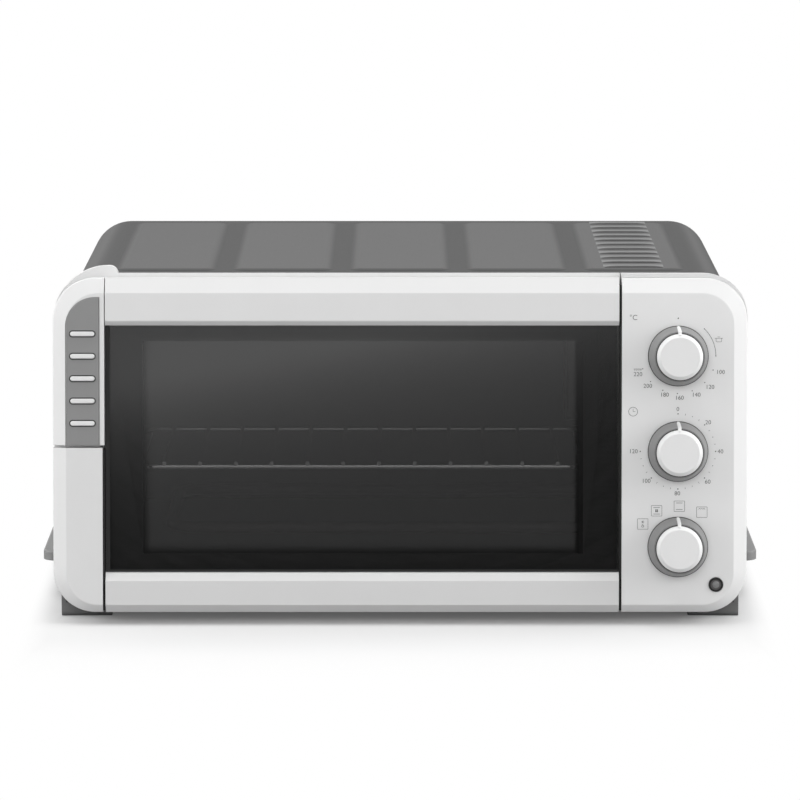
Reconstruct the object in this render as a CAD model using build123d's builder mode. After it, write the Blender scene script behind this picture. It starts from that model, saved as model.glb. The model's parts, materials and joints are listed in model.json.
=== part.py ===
from build123d import *
from math import cos, hypot, radians, sin
import os

# A countertop mini oven with a drop-down glass door, in millimetres.
# +X is to the right seen from the front, the front faces -Y, +Z is up, and the feet stand on Z = 0.

os.makedirs("parts", exist_ok=True)

# Body
frame_width = 410.0          # front frame, side to side
frame_height = 197.8         # front frame, measured along its leaning face
frame_depth = 26.0           # front frame, front to back
frame_bottom = 8.0           # lower front edge of the frame above the table
lean_angle = 6.0             # the whole face leans back by this much
body_depth = 320.0           # lower front edge to the back panel's outer face
corner_radius = 25.0         # front frame corners
bevel_depth = 4.0            # how far the frame's bevel falls back at its edge
side_bevel = 8.0
top_bevel = 9.0
bottom_bevel = 4.5
edge_round = 1.2             # rounding along the bevel's two edges
rim_height = 2.5             # the fixed rim shows this far above the door
moulding_wall = 2.5
seam = 0.5                   # gap between neighbouring fixed mouldings

# Door
pillar_width = 29.4          # left pillar, up to the door's gap
control_width = 74.1         # control panel, up to the door's gap
door_depth = 16.0
door_gap = 1.6               # gap at the door's two ends
back_gap = 1.0               # gap behind the door
glass_bottom = 24.0          # visible glass, along the face
top_rail_height = 28.2
glass_recess = 3.0           # the glass lies this far behind the rails' faces
glass_thickness = 4.0
glass_lap = 4.0              # glass hidden behind each rail's lip
glass_play = 0.3
top_lip = 2.7                # bevel at the top rail's lower edge
bottom_lip = 5.3             # bevel at the bottom rail's upper edge
border_left = 22.0           # black border, from the glass's edges to its clear part
border_right = 21.0
border_bottom = 10.5
border_top = 9.4
sheet = 1.0                  # steel sheet of the liner, frame pans and panels

# Handle, at the door's upper left corner
handle_bottom = 99.0
handle_gap = 1.5             # gap between the handle and the pillar under it
handle_depth = 13.0
insert_margin = 3.0          # white strip between the insert and the door's end
insert_drop = 11.7           # from the frame's top down to the insert
insert_radius = 17.0
insert_depth = 2.0           # pocket that the insert lies in
insert_play = 0.15
insert_proud = 0.4
rib_count = 5
rib_pitch = 13.2
rib_first = 112.0
rib_length = 14.3
rib_width = 2.7
rib_height = 1.0

# Hinge
hinge_up = 9.0               # axis above the frame's lower edge, along the face
hinge_in = 11.0              # axis behind the face
pin_radius = 2.5
pin_in_rail = 8.0
pin_in_bush = 8.0
running = 0.05               # radial clearance of every running fit
bush_width = 7.0
bush_radius = 4.2
turn_gap = 1.0               # room left behind the door's lower edge as it turns

# Cover
cover_inset = 6.0            # the cover's sides lie this far inside the frame's
cover_drop = 0.9             # the cover's top lies this far below the frame's
cover_radius = 25.0
cover_bottom = 9.0
cover_sheet = 0.8
panel_rise = 1.0             # the pressed panels stand this far above the cover
panel_count = 5
panel_pitch = 70.0
panel_width = 60.0
panel_slope = 5.0            # width of the slope down each side of a pressed panel
panel_corner = 8.0
panel_margin = 14.0          # cover left bare in front of and behind the panels
vent_count = 11
vent_pitch = 22.3
vent_length = 35.0
vent_width = 2.4
vent_front = 70.0            # first louvre behind the frame's lower edge

# Crowned corner behind the handle
crown_reach = 7.0            # past the door's end
crown_height = 20.0          # its foot below the cover's top
crown_rise = 5.8             # its top above the cover
crown_back = 46.0
crown_radius = 32.0          # its shoulder, larger than the frame's own corner
crown_end_radius = 5.0
crown_round = 3.0            # rounding along its rear edge
crown_gap = 0.3

# Cavity
cavity_margin = 13.0         # left wall past the clear part of the glass
cavity_margin_right = 10.0
cavity_floor = 27.0
ceiling_gap = 25.0           # between the cavity's ceiling and the cover
cavity_back = 285.0
liner_flange = 9.0

# Rack
rack_play = 2.5              # rack to each side wall
rack_front = 60.0
rack_back = 209.0
rack_height = 85.0           # middle of its frame wire
rack_wire = 1.75             # radius of the frame wire
rack_corner = 12.0
bar_count = 12
bar_pitch = 21.5
bar_radius = 1.2
bar_bite = 0.5               # bars are welded this far into the frame wire
guide_width = 9.0
guide_gap = 0.4
guide_sheet = 1.2

# Heaters
heater_radius = 3.5
heater_bend = 20.0
heater_front = 95.0
heater_back = 235.0
heater_margin = 25.0         # loop to the cavity's left wall
heater_tail = 14.0           # cold ends past the cavity's right wall
upper_heater_drop = 12.0     # below the cavity's ceiling
lower_heater_rise = 15.0     # above the cavity's floor
ferrule_radius = 6.0
ferrule_length = 5.0

# Fan
fan_depth = 165.0
fan_drop = 46.0              # fan's axis below the cavity's ceiling
fan_radius = 27.0
fan_hub = 7.0
blade_count = 7
blade_width = 9.0
blade_sheet = 1.0
fan_shaft_radius = 2.5
fan_gap = 3.0                # fan to the cavity wall and to its cover
motor_radius = 23.0
motor_length = 34.0
fan_cover_size = 63.0
fan_cover_hole = 2.2
bracket_sheet = 1.5

# Controls
knob_inset = 41.0            # knobs' axes from the frame's right side
knob_first = 39.0            # lowest knob's axis along the face
knob_pitch = 56.4
skirt_radius = 17.5
skirt_top_radius = 14.8
skirt_height = 17.5
skirt_gap = 0.5
cap_radius = 13.5
cap_height = 22.0
cap_seat = 14.0
cap_play = 0.15
knob_wall = 2.0
hub_radius = 5.5
spindle_radius = 3.0
spindle_in_hub = 12.0
spindle_in_body = 10.0
bush_outer = 5.0
panel_hole = 6.5
lamp_inset = 18.4
lamp_up = 16.6
lamp_radius = 4.4
lamp_length = 20.0
bracket_inset = 5.4          # control bracket to the panel's left edge
bracket_side = 3.0           # control bracket to the cover's side
bracket_end = 12.5           # control bracket to the frame's top and bottom
thermostat_size = 38.0
thermostat_depth = 24.0
timer_radius = 25.0
timer_depth = 30.0
switch_width = 42.0
switch_height = 46.0
switch_depth = 28.0
bulb_radius = 2.0
bulb_length = 90.0
bulb_drop = 7.0              # below the cavity's ceiling

# Base
foot_width = 30.0
foot_depth = 42.0
foot_overhang = 3.0          # the foot's outer wall beside the cover
foot_front = 30.0
foot_round = 3.0
foot_lip = 8.0               # the foot's outer wall rises this far beside the cover
foot_wall = 2.6
grip_width = 18.5
grip_low = 22.0
grip_high = 28.0
grip_front = 92.0
grip_back = 205.0
grip_corner = 9.0
tray_flange = 12.0
back_vent_rows = 6
back_vent_pitch = 9.0
screw_radius = 1.5
screw_head_radius = 3.2
screw_head = 1.8
screw_length = 6.0
screw_inset = 14.0
screw_boss = 6.0
screw_recess = 1.5           # screw heads lie this far up inside the feet
back_lip = 22.0              # the cover's inner lip, which the back panel is screwed to
block_width = 36.0           # terminal block
block_depth = 18.0
block_height = 16.0
block_inset = 44.0
pole_count = 3
pole_radius = 2.5
gland_inset = 49.0           # gland to the cover's right side
gland_height = 40.0
gland_flange = 9.0
gland_radius = 6.5
gland_bore = 4.0
gland_length = 12.0
gland_proud = 6.0

# Places worked out from the sizes above
lean_sin = sin(radians(lean_angle))
lean_cos = cos(radians(lean_angle))
frame_right = frame_width / 2
frame_left = -frame_right
door_left = frame_left + pillar_width + door_gap
door_right = frame_right - control_width - door_gap
glass_top = frame_height - top_rail_height
window_left = door_left + border_left
window_right = door_right - border_right
window_bottom = glass_bottom + border_bottom
window_top = glass_top - border_top
insert_left = frame_left + side_bevel
insert_right = door_left - seam - insert_margin
insert_top = frame_height - insert_drop
cover_half = frame_width / 2 - cover_inset
cover_top = frame_bottom + frame_height * lean_cos - cover_drop
crown_left = frame_left
crown_right = door_left + crown_reach
crown_foot = cover_top - crown_height
cavity_left = window_left - cavity_margin
cavity_right = window_right + cavity_margin_right
cavity_ceiling = cover_top - ceiling_gap
rack_left = cavity_left + rack_play
rack_right = cavity_right - rack_play
bar_centre = (rack_left + rack_right) / 2
heater_left = cavity_left + heater_margin
heater_end = cavity_right + heater_tail
upper_heater_height = cavity_ceiling - upper_heater_drop
lower_heater_height = cavity_floor + lower_heater_rise
knob_x = frame_right - knob_inset
lamp_x = frame_right - lamp_inset
bracket_left = door_right + door_gap + bracket_inset
bracket_right = cover_half - bracket_side
bracket_top = frame_height - bracket_end
bulb_height = cavity_ceiling - bulb_drop
fan_height = cavity_ceiling - fan_drop
foot_outer = cover_half + foot_overhang
grip_out = cover_half + grip_width
gland_x = cover_half - gland_inset
knob_places = [knob_first, knob_first + knob_pitch, knob_first + 2 * knob_pitch]
front_reach = (cap_height + skirt_gap) * lean_cos - (knob_first - cap_radius) * lean_sin
front_y = (front_reach - body_depth - gland_proud) / 2
back_y = front_y + body_depth
outward = Vector(0, -lean_cos, lean_sin)
base_point = Vector(0, front_y, frame_bottom)
face_plane = Plane(origin=base_point, x_dir=(1, 0, 0), z_dir=outward)
door_back = -door_depth
frame_front = door_back - back_gap
crossbar_front = -hinge_in - hypot(hinge_up, door_depth - hinge_in) - turn_gap
ring_top = frame_height + rim_height
pillar_right = door_left - door_gap
panel_left = door_right + door_gap
pillar_top = handle_bottom - handle_gap
tray_z = cover_bottom
glass_front = -glass_recess
glass_back = -glass_recess - glass_thickness
side_screws = [
    (x, height)
    for x in (-cover_half + screw_inset, cover_half - screw_inset)
    for height in (tray_z + tray_flange + screw_inset, cover_top - screw_inset)
]
top_screws = [(0, cover_top - screw_inset)]
tray_screws = [(0, tray_z + tray_flange / 2)]
back_screw_places = side_screws + top_screws + tray_screws
foot_centres = [
    (x, front_y + depth)
    for x in (-foot_outer + foot_width / 2, foot_outer - foot_width / 2)
    for depth in (foot_front + foot_depth / 2, body_depth - foot_front - foot_depth / 2)
]
door_screw_places = [
    (x, up)
    for x in ((door_left + window_left) / 2, (door_right + window_right) / 2)
    for up in (window_bottom, (window_bottom + window_top) / 2, window_top)
]


def face(out):
    """The leaning face plane, moved outward."""
    return face_plane.offset(out)


def side(x):
    """A plane across X, with its own x outward from the face and its own y up the face."""
    return Plane(origin=base_point + Vector(x, 0, 0), x_dir=outward, z_dir=(-1, 0, 0))


def upright(depth):
    """A plane facing forward, at a depth behind the frame's lower front edge."""
    return Plane.XZ.offset(-(front_y + depth))


def up_face(height, out):
    """How far up the face a height above the table lies."""
    return (height - frame_bottom - out * lean_sin) / lean_cos


def on_face(x, up, out):
    """The point at x, up along the face and outward from it."""
    return base_point + Vector(x, up * lean_sin - out * lean_cos, up * lean_cos + out * lean_sin)


def span(low_x, high_x, low_y, high_y, mode=Mode.ADD):
    """A rectangle between two corners of the sketch."""
    with Locations(((low_x + high_x) / 2, (low_y + high_y) / 2)):
        Rectangle(high_x - low_x, high_y - low_y, mode=mode)


def block(low, high, mode=Mode.ADD):
    """A box between two corners, its Y counted back from the frame's lower front edge."""
    with Locations(((low[0] + high[0]) / 2, front_y + (low[1] + high[1]) / 2, (low[2] + high[2]) / 2)):
        Box(high[0] - low[0], high[1] - low[1], high[2] - low[2], mode=mode)


def arch(half_width, bottom, top, radius):
    """An outline with a flat bottom and two round upper corners."""
    with BuildSketch() as outline:
        span(-half_width, half_width, bottom, top)
        fillet(outline.vertices().group_by(Axis.Y)[-1], radius)
    return outline.sketch


def save(piece, label):
    """Label a finished piece and write it to its own file."""
    piece.part.label = label
    export_step(piece.part, "parts/" + label + ".step")


# Front blank: the bevelled outline that the door, the handle, the pillar and the panel share
with BuildPart() as front_blank:
    with BuildSketch(face(-frame_depth)):
        with Locations((0, frame_height / 2)):
            RectangleRounded(frame_width, frame_height, corner_radius)
    extrude(amount=frame_depth - bevel_depth)
    with BuildSketch(face(-bevel_depth)):
        with Locations((0, frame_height / 2)):
            RectangleRounded(frame_width, frame_height, corner_radius)
    with BuildSketch(face(0)):
        with Locations((0, (frame_height - top_bevel + bottom_bevel) / 2)):
            RectangleRounded(
                frame_width - 2 * side_bevel,
                frame_height - top_bevel - bottom_bevel,
                corner_radius - (side_bevel + bottom_bevel) / 2,
            )
    loft()
    front_edges = front_blank.faces().sort_by(Axis.Y)[0].edges()
    fillet(front_edges, edge_round)

# Control panel
with BuildPart() as control_panel:
    add(front_blank.part)
    with BuildSketch(face(-frame_depth)):
        span(panel_left, frame_right, 0, frame_height)
    extrude(amount=frame_depth, mode=Mode.INTERSECT)
    wall_inset = side_bevel + moulding_wall / 2
    with BuildSketch(face(-frame_depth)) as hollow:
        span(panel_left + moulding_wall, frame_right - moulding_wall,
             moulding_wall, frame_height - moulding_wall)
        fillet(hollow.vertices().group_by(Axis.X)[-1], corner_radius - moulding_wall)
    extrude(amount=frame_depth - bevel_depth - moulding_wall, mode=Mode.SUBTRACT)
    with BuildSketch(face(-frame_depth)) as deep_hollow:
        span(panel_left + moulding_wall, frame_right - wall_inset, wall_inset, frame_height - wall_inset)
        fillet(deep_hollow.vertices().group_by(Axis.X)[-1], corner_radius - wall_inset)
    extrude(amount=frame_depth - moulding_wall, mode=Mode.SUBTRACT)
    with BuildSketch(face(0)):
        with Locations([(knob_x, up) for up in knob_places]):
            Circle(panel_hole)
        with Locations((lamp_x, lamp_up)):
            Circle(lamp_radius)
    extrude(amount=-frame_depth, mode=Mode.SUBTRACT)
    with BuildSketch(side(panel_left + moulding_wall)):
        with Locations((-hinge_in, hinge_up)):
            Circle(pin_radius + seam)
    extrude(amount=moulding_wall, mode=Mode.SUBTRACT)
save(control_panel, "control_panel")

# Left pillar, under the handle
with BuildPart() as left_pillar:
    add(front_blank.part)
    with BuildSketch(face(frame_front)):
        span(frame_left, pillar_right, 0, pillar_top)
    extrude(amount=-frame_front, mode=Mode.INTERSECT)
    with BuildSketch(face(frame_front)) as pillar_hollow:
        span(frame_left + moulding_wall, pillar_right - moulding_wall,
             moulding_wall, pillar_top - moulding_wall)
        outer_corner = pillar_hollow.vertices().group_by(Axis.X)[0].sort_by(Axis.Y)[0]
        fillet(outer_corner, corner_radius - moulding_wall)
    extrude(amount=-frame_front - bevel_depth - moulding_wall, mode=Mode.SUBTRACT)
    with BuildSketch(side(pillar_right)):
        with Locations((-hinge_in, hinge_up)):
            Circle(pin_radius + seam)
    extrude(amount=moulding_wall, mode=Mode.SUBTRACT)
save(left_pillar, "left_pillar")

# Crowned corner: a hump that wraps the cover's front corner behind the handle
crown_top = cover_top + crown_rise
crown_inner = arch(cover_half + crown_gap, cover_bottom, cover_top + panel_rise + crown_gap,
                   cover_radius + crown_gap)
with BuildPart() as crown:
    with BuildSketch(upright(crown_back)) as crown_outline:
        span(crown_left, crown_right, crown_top - 2 * crown_radius, crown_top)
        fillet(crown_outline.vertices().group_by(Axis.Y)[-1].sort_by(Axis.X)[0], crown_radius)
        fillet(crown_outline.vertices().group_by(Axis.Y)[-1].sort_by(Axis.X)[-1], crown_end_radius)
        span(crown_left, crown_right, crown_foot, crown_top, mode=Mode.INTERSECT)
    extrude(amount=crown_back)
    rear_edges = crown.faces().sort_by(Axis.Y)[-1].edges()
    fillet(rear_edges.filter_by(lambda edge: edge.center().Z > crown_foot + crown_round), crown_round)
    with BuildSketch(upright(crown_back)):
        add(crown_inner)
    extrude(amount=crown_back, mode=Mode.SUBTRACT)

# Front frame: the fixed ring behind the door, with its crowned corner
with BuildPart() as front_frame:
    with BuildSketch(face(-frame_depth)):
        with Locations((0, ring_top / 2)):
            RectangleRounded(frame_width, ring_top, corner_radius)
        span(frame_left, panel_left - seam, 0, ring_top, mode=Mode.INTERSECT)
        span(cavity_left, cavity_right, up_face(cavity_floor, -frame_depth),
             up_face(cavity_ceiling, -frame_depth), mode=Mode.SUBTRACT)
    extrude(amount=frame_depth + frame_front)
    with BuildSketch(face(frame_front)):
        span(door_left - door_gap, panel_left, 0, up_face(cavity_floor, -frame_depth))
    extrude(amount=crossbar_front - frame_front, mode=Mode.SUBTRACT)
    add(crown.part)
    with BuildSketch(face(frame_front)):
        span(2 * frame_left, frame_right, 0, 2 * frame_height)
    extrude(amount=2 * frame_depth, mode=Mode.SUBTRACT)
save(front_frame, "front_frame")

# Door rails
rail_length = door_right - door_left
lip_top = glass_top + glass_lap + glass_play
lip_bottom = glass_bottom - glass_lap - glass_play
with BuildPart() as door_top_rail:
    with BuildSketch(side(door_right)) as top_profile:
        Polygon(
            (door_back, lip_top), (glass_front, lip_top), (glass_front, glass_top), (0, glass_top + top_lip),
            (0, frame_height - top_bevel), (-bevel_depth, frame_height), (door_back, frame_height),
        )
    extrude(amount=rail_length)
    long_edges = door_top_rail.edges().filter_by(Axis.X)
    fillet(long_edges.sort_by(Axis.Y)[0:2], edge_round)
    with BuildSketch(side(door_right - moulding_wall)):
        span(door_back, -bevel_depth - moulding_wall, lip_top + moulding_wall, frame_height - moulding_wall)
    extrude(amount=rail_length - 2 * moulding_wall, mode=Mode.SUBTRACT)
save(door_top_rail, "door_top_rail")

with BuildPart() as door_bottom_rail:
    with BuildSketch(side(door_right)):
        Polygon(
            (door_back, 0), (-bevel_depth, 0), (0, bottom_bevel), (0, glass_bottom - bottom_lip),
            (glass_front, glass_bottom), (glass_front, lip_bottom), (door_back, lip_bottom),
        )
    extrude(amount=rail_length)
    rail_pocket = rail_length - 2 * pin_in_rail
    with BuildSketch(side(door_right - pin_in_rail)):
        span(door_back, -bevel_depth - moulding_wall, moulding_wall, lip_bottom - moulding_wall)
    extrude(amount=rail_pocket, mode=Mode.SUBTRACT)
    with BuildSketch(side(door_right)):
        with Locations((-hinge_in, hinge_up)):
            Circle(pin_radius)
    extrude(amount=rail_length, mode=Mode.SUBTRACT)
save(door_bottom_rail, "door_bottom_rail")

# Door glass
with BuildPart() as door_glass:
    with BuildSketch(face(glass_back)):
        span(door_left, door_right, glass_bottom - glass_lap, glass_top + glass_lap)
    extrude(amount=glass_thickness)
    chamfer(door_glass.faces().sort_by(Axis.Y)[0].edges(), sheet / 2)
save(door_glass, "door_glass")

# Door inner frame: a pressed pan behind the glass, open at the window
pan_left = door_left + 2 * seam
pan_right = door_right - 2 * seam
with BuildPart() as door_inner_frame:
    with BuildSketch(face(door_back + seam)):
        span(pan_left, pan_right, glass_bottom - glass_lap, glass_top + glass_lap)
        span(window_left, window_right, window_bottom, window_top, mode=Mode.SUBTRACT)
    extrude(amount=-seam - door_back + glass_back)
    with BuildSketch(face(door_back + seam)):
        span(pan_left + sheet, pan_right - sheet,
             glass_bottom - glass_lap + sheet, glass_top + glass_lap - sheet)
        span(window_left - sheet, window_right + sheet, window_bottom - sheet, window_top + sheet,
             mode=Mode.SUBTRACT)
    extrude(amount=-seam - door_back + glass_back - sheet, mode=Mode.SUBTRACT)
save(door_inner_frame, "door_inner_frame")

# Handle shell, its insert and ribs
with BuildPart() as handle_shell:
    add(front_blank.part)
    with BuildSketch(face(-handle_depth)):
        span(frame_left, door_left - seam, handle_bottom, frame_height)
    extrude(amount=handle_depth, mode=Mode.INTERSECT)
    with BuildSketch(face(0)) as pocket:
        span(insert_left, insert_right, handle_bottom, insert_top)
        fillet(pocket.vertices().group_by(Axis.Y)[-1].sort_by(Axis.X)[0], insert_radius)
    extrude(amount=-insert_depth, mode=Mode.SUBTRACT)
    with BuildSketch(face(-handle_depth)):
        span(insert_left, door_left - seam - moulding_wall,
             handle_bottom + moulding_wall, insert_top - moulding_wall)
    extrude(amount=handle_depth - insert_depth - moulding_wall, mode=Mode.SUBTRACT)
save(handle_shell, "handle_shell")

with BuildPart() as handle_insert:
    with BuildSketch(face(-insert_depth)) as inlay:
        span(insert_left + insert_play, insert_right - insert_play, handle_bottom, insert_top - insert_play)
        fillet(inlay.vertices().group_by(Axis.Y)[-1].sort_by(Axis.X)[0], insert_radius - insert_play)
    extrude(amount=insert_depth + insert_proud)
    fillet(handle_insert.faces().filter_by(face_plane).sort_by(Axis.Y)[0].edges(), insert_proud / 2)
save(handle_insert, "handle_insert")

rib_x = (insert_left + insert_right) / 2
with BuildPart() as handle_ribs:
    with BuildSketch(face(insert_proud)):
        with Locations([(rib_x, rib_first + i * rib_pitch) for i in range(rib_count)]):
            SlotOverall(rib_length, rib_width)
    extrude(amount=rib_height)
    rib_tops = handle_ribs.faces().filter_by(face_plane).sort_by(Axis((0, 0, 0), outward))[-rib_count:]
    chamfer(rib_tops.edges(), rib_height / 3)
save(handle_ribs, "handle_ribs")

# Hinge pins on the door and the bushes they turn in
hinge_ends = {
    "left": (door_left + pin_in_rail, pillar_right - pin_in_bush, pillar_right - moulding_wall),
    "right": (panel_left + pin_in_bush, door_right - pin_in_rail, panel_left + moulding_wall + bush_width),
}
for name, (pin_start, pin_end, bush_start) in hinge_ends.items():
    with BuildPart() as hinge_pin:
        with BuildSketch(side(pin_start)):
            with Locations((-hinge_in, hinge_up)):
                Circle(pin_radius)
        extrude(amount=pin_start - pin_end)
    save(hinge_pin, name + "_hinge_pin")
    with BuildPart() as hinge_bush:
        with BuildSketch(side(bush_start)):
            with Locations((-hinge_in, hinge_up)):
                Circle(bush_radius)
            span(frame_front, -hinge_in, hinge_up - bush_radius, hinge_up + bush_radius)
            with Locations((-hinge_in, hinge_up)):
                Circle(pin_radius + running, mode=Mode.SUBTRACT)
        extrude(amount=bush_width)
    save(hinge_bush, name + "_hinge_bush")

# Top cover: a steel wrap with five pressed panels and a row of louvres
cover_outer = arch(cover_half, cover_bottom, cover_top, cover_radius)
cover_inner = arch(cover_half - cover_sheet, cover_bottom, cover_top - cover_sheet,
                   cover_radius - cover_sheet)
panel_front = frame_depth * lean_cos + frame_height * lean_sin + panel_margin
panel_length = body_depth - panel_margin - panel_front
panel_centres = [(i - (panel_count - 1) / 2) * panel_pitch for i in range(panel_count)]
with BuildPart() as top_cover:
    with BuildSketch(upright(body_depth)):
        add(cover_outer)
        add(cover_inner, mode=Mode.SUBTRACT)
    extrude(amount=body_depth)
    with BuildSketch(upright(body_depth - sheet)):
        add(cover_inner)
        add(arch(cover_half - back_lip, cover_bottom, cover_top - back_lip, moulding_wall),
            mode=Mode.SUBTRACT)
        span(-cover_half, cover_half, cover_bottom, tray_z + tray_flange + seam, mode=Mode.SUBTRACT)
    extrude(amount=cover_sheet)
    with BuildSketch(upright(body_depth)):
        with Locations(side_screws + top_screws):
            Circle(screw_radius + running)
    extrude(amount=body_depth - cavity_back, mode=Mode.SUBTRACT)
    for centre in panel_centres:
        for rise, inset in ((0, 0), (panel_rise, panel_slope)):
            with BuildSketch(Plane.XY.offset(cover_top + rise)):
                with Locations((centre, front_y + (panel_front + body_depth - panel_margin) / 2)):
                    RectangleRounded(panel_width - 2 * inset, panel_length - 2 * inset, panel_corner - inset)
        loft(ruled=True)
    with BuildSketch(Plane.XY.offset(cover_top + panel_rise)):
        for i in range(vent_count):
            with Locations((panel_centres[-1], front_y + vent_front + i * vent_pitch)):
                SlotOverall(vent_length, vent_width)
    extrude(amount=-panel_rise - 2 * cover_sheet, mode=Mode.SUBTRACT)
    split(bisect_by=face(-frame_depth), keep=Keep.BOTTOM)
save(top_cover, "top_cover")

# Back panel
with BuildPart() as back_panel:
    with BuildSketch(upright(body_depth)):
        add(arch(cover_half - cover_sheet - seam, tray_z + sheet, cover_top - cover_sheet - seam,
                 cover_radius - cover_sheet - seam))
        with Locations((gland_x, gland_height)):
            Circle(gland_radius, mode=Mode.SUBTRACT)
        with Locations(back_screw_places):
            Circle(screw_radius + running, mode=Mode.SUBTRACT)
        for i in range(back_vent_rows):
            with Locations((gland_x, cavity_ceiling - (i + 1) * back_vent_pitch)):
                SlotOverall(vent_length, vent_width, mode=Mode.SUBTRACT)
    extrude(amount=sheet)
save(back_panel, "back_panel")

# Bottom plate: a shallow tray inside the cover
tray_front = frame_depth + frame_depth * lean_sin
tray_half = cover_half - cover_sheet - seam
with BuildPart() as bottom_plate:
    block((-tray_half, tray_front, tray_z), (tray_half, body_depth - sheet, tray_z + tray_flange))
    block((-tray_half + sheet, tray_front - sheet, tray_z + sheet),
          (tray_half - sheet, body_depth - 2 * sheet, tray_z + tray_flange), mode=Mode.SUBTRACT)
    split(bisect_by=face(-frame_depth), keep=Keep.BOTTOM)
    with BuildSketch(upright(body_depth)):
        with Locations(tray_screws):
            Circle(screw_radius + running)
    extrude(amount=3 * sheet, mode=Mode.SUBTRACT)
    with BuildSketch(Plane.XY.offset(tray_z)):
        with Locations(foot_centres):
            Circle(screw_radius + running)
    extrude(amount=sheet, mode=Mode.SUBTRACT)
save(bottom_plate, "bottom_plate")

# Cavity liner
wall_holes = [(fan_depth, fan_height, fan_shaft_radius + seam)]
for height in (upper_heater_height, lower_heater_height):
    for place in (heater_front, heater_back):
        wall_holes.append((place, height, heater_radius + seam))
bulb_place = (heater_back + heater_front) / 2 - bulb_length / 2
liner_length = cavity_back
with BuildPart() as cavity_liner:
    with BuildSketch(upright(cavity_back)):
        span(cavity_left - sheet, cavity_right + sheet, cavity_floor - sheet, cavity_ceiling + sheet)
    extrude(amount=liner_length)
    with BuildSketch(upright(cavity_back - sheet)):
        span(cavity_left, cavity_right, cavity_floor, cavity_ceiling)
    extrude(amount=liner_length, mode=Mode.SUBTRACT)
    split(bisect_by=face(-frame_depth - sheet), keep=Keep.BOTTOM)
    with BuildSketch(face(-frame_depth - sheet)):
        span(cavity_left - liner_flange, cavity_right + liner_flange,
             up_face(cavity_floor, -frame_depth) - liner_flange,
             up_face(cavity_ceiling, -frame_depth) + liner_flange)
        span(cavity_left, cavity_right, up_face(cavity_floor, -frame_depth),
             up_face(cavity_ceiling, -frame_depth), mode=Mode.SUBTRACT)
    extrude(amount=sheet)
    with BuildSketch(Plane.YZ.offset(cavity_right)):
        for place, height, radius in wall_holes:
            with Locations((front_y + place, height)):
                Circle(radius)
    extrude(amount=sheet, mode=Mode.SUBTRACT)
save(cavity_liner, "cavity_liner")

# Rack guides: a ledge on each side wall, with a stop behind the rack
guide_low = rack_height - rack_wire - guide_gap - guide_sheet
guide_start = rack_front
guide_end = rack_back + seam + guide_sheet
guide_sides = {
    "left": (cavity_left, cavity_left + guide_width, cavity_left + guide_sheet),
    "right": (cavity_right - guide_width, cavity_right, cavity_right - guide_sheet),
}
for name, (low_x, high_x, web_x) in guide_sides.items():
    web_low = min(web_x, cavity_left if name == "left" else cavity_right)
    web_high = max(web_x, cavity_left if name == "left" else cavity_right)
    with BuildPart() as rack_guide:
        block((low_x, guide_start, guide_low), (high_x, guide_end, guide_low + guide_sheet))
        block((web_low, guide_start, guide_low - guide_width), (web_high, guide_end, guide_low))
        block((low_x, guide_end - guide_sheet, guide_low), (high_x, guide_end, rack_height + rack_wire))
    save(rack_guide, name + "_rack_guide")

# Wire rack
with BuildPart() as wire_rack:
    with BuildLine(Plane.XY.offset(rack_height)) as rack_path:
        FilletPolyline(
            (rack_left + rack_wire, front_y + rack_front + rack_wire),
            (rack_right - rack_wire, front_y + rack_front + rack_wire),
            (rack_right - rack_wire, front_y + rack_back - rack_wire),
            (rack_left + rack_wire, front_y + rack_back - rack_wire),
            radius=rack_corner,
            close=True,
        )
    with BuildSketch(Plane(origin=rack_path.line @ 0, z_dir=rack_path.line % 0)):
        Circle(rack_wire)
    sweep()
    bar_height = rack_height + rack_wire + bar_radius - bar_bite
    with BuildSketch(Plane.XZ.offset(-(front_y + rack_back))):
        for i in range(bar_count):
            with Locations((bar_centre + (i - (bar_count - 1) / 2) * bar_pitch, bar_height)):
                Circle(bar_radius)
    extrude(amount=rack_back - rack_front)
save(wire_rack, "wire_rack")

# Tubular heaters and their ceramic ferrules
heaters = {"upper_heater": upper_heater_height, "lower_heater": lower_heater_height}
for name, height in heaters.items():
    with BuildPart() as heater:
        with BuildLine(Plane.XY.offset(height)) as heater_path:
            FilletPolyline(
                (heater_end, front_y + heater_front), (heater_left, front_y + heater_front),
                (heater_left, front_y + heater_back), (heater_end, front_y + heater_back),
                radius=heater_bend,
            )
        with BuildSketch(Plane(origin=heater_path.line @ 0, z_dir=heater_path.line % 0)):
            Circle(heater_radius)
        sweep()
    save(heater, name)

with BuildPart() as heater_ferrules:
    with BuildSketch(Plane.YZ.offset(cavity_right + sheet)):
        for height in heaters.values():
            for place in (heater_front, heater_back):
                with Locations((front_y + place, height)):
                    Circle(ferrule_radius)
                    Circle(heater_radius + running, mode=Mode.SUBTRACT)
    extrude(amount=ferrule_length)
save(heater_ferrules, "heater_ferrules")

# Convection fan
fan_centre = (front_y + fan_depth, fan_height)
fan_face = cavity_right - fan_gap - blade_width
with BuildPart() as fan_blade:
    with BuildSketch(Plane.YZ.offset(fan_face)):
        with Locations(fan_centre):
            Circle(fan_hub)
            Circle(fan_shaft_radius, mode=Mode.SUBTRACT)
    extrude(amount=blade_width)
    with BuildSketch(Plane.YZ.offset(fan_face + blade_width - blade_sheet)):
        with Locations(fan_centre):
            Circle(fan_radius)
            Circle(fan_shaft_radius, mode=Mode.SUBTRACT)
    extrude(amount=blade_sheet)
    with BuildSketch(Plane.YZ.offset(fan_face)):
        with Locations(fan_centre):
            with PolarLocations((fan_radius + fan_hub) / 2, blade_count):
                Rectangle(fan_radius - fan_hub, blade_sheet, rotation=12)
    extrude(amount=blade_width)
save(fan_blade, "fan_blade")

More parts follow.
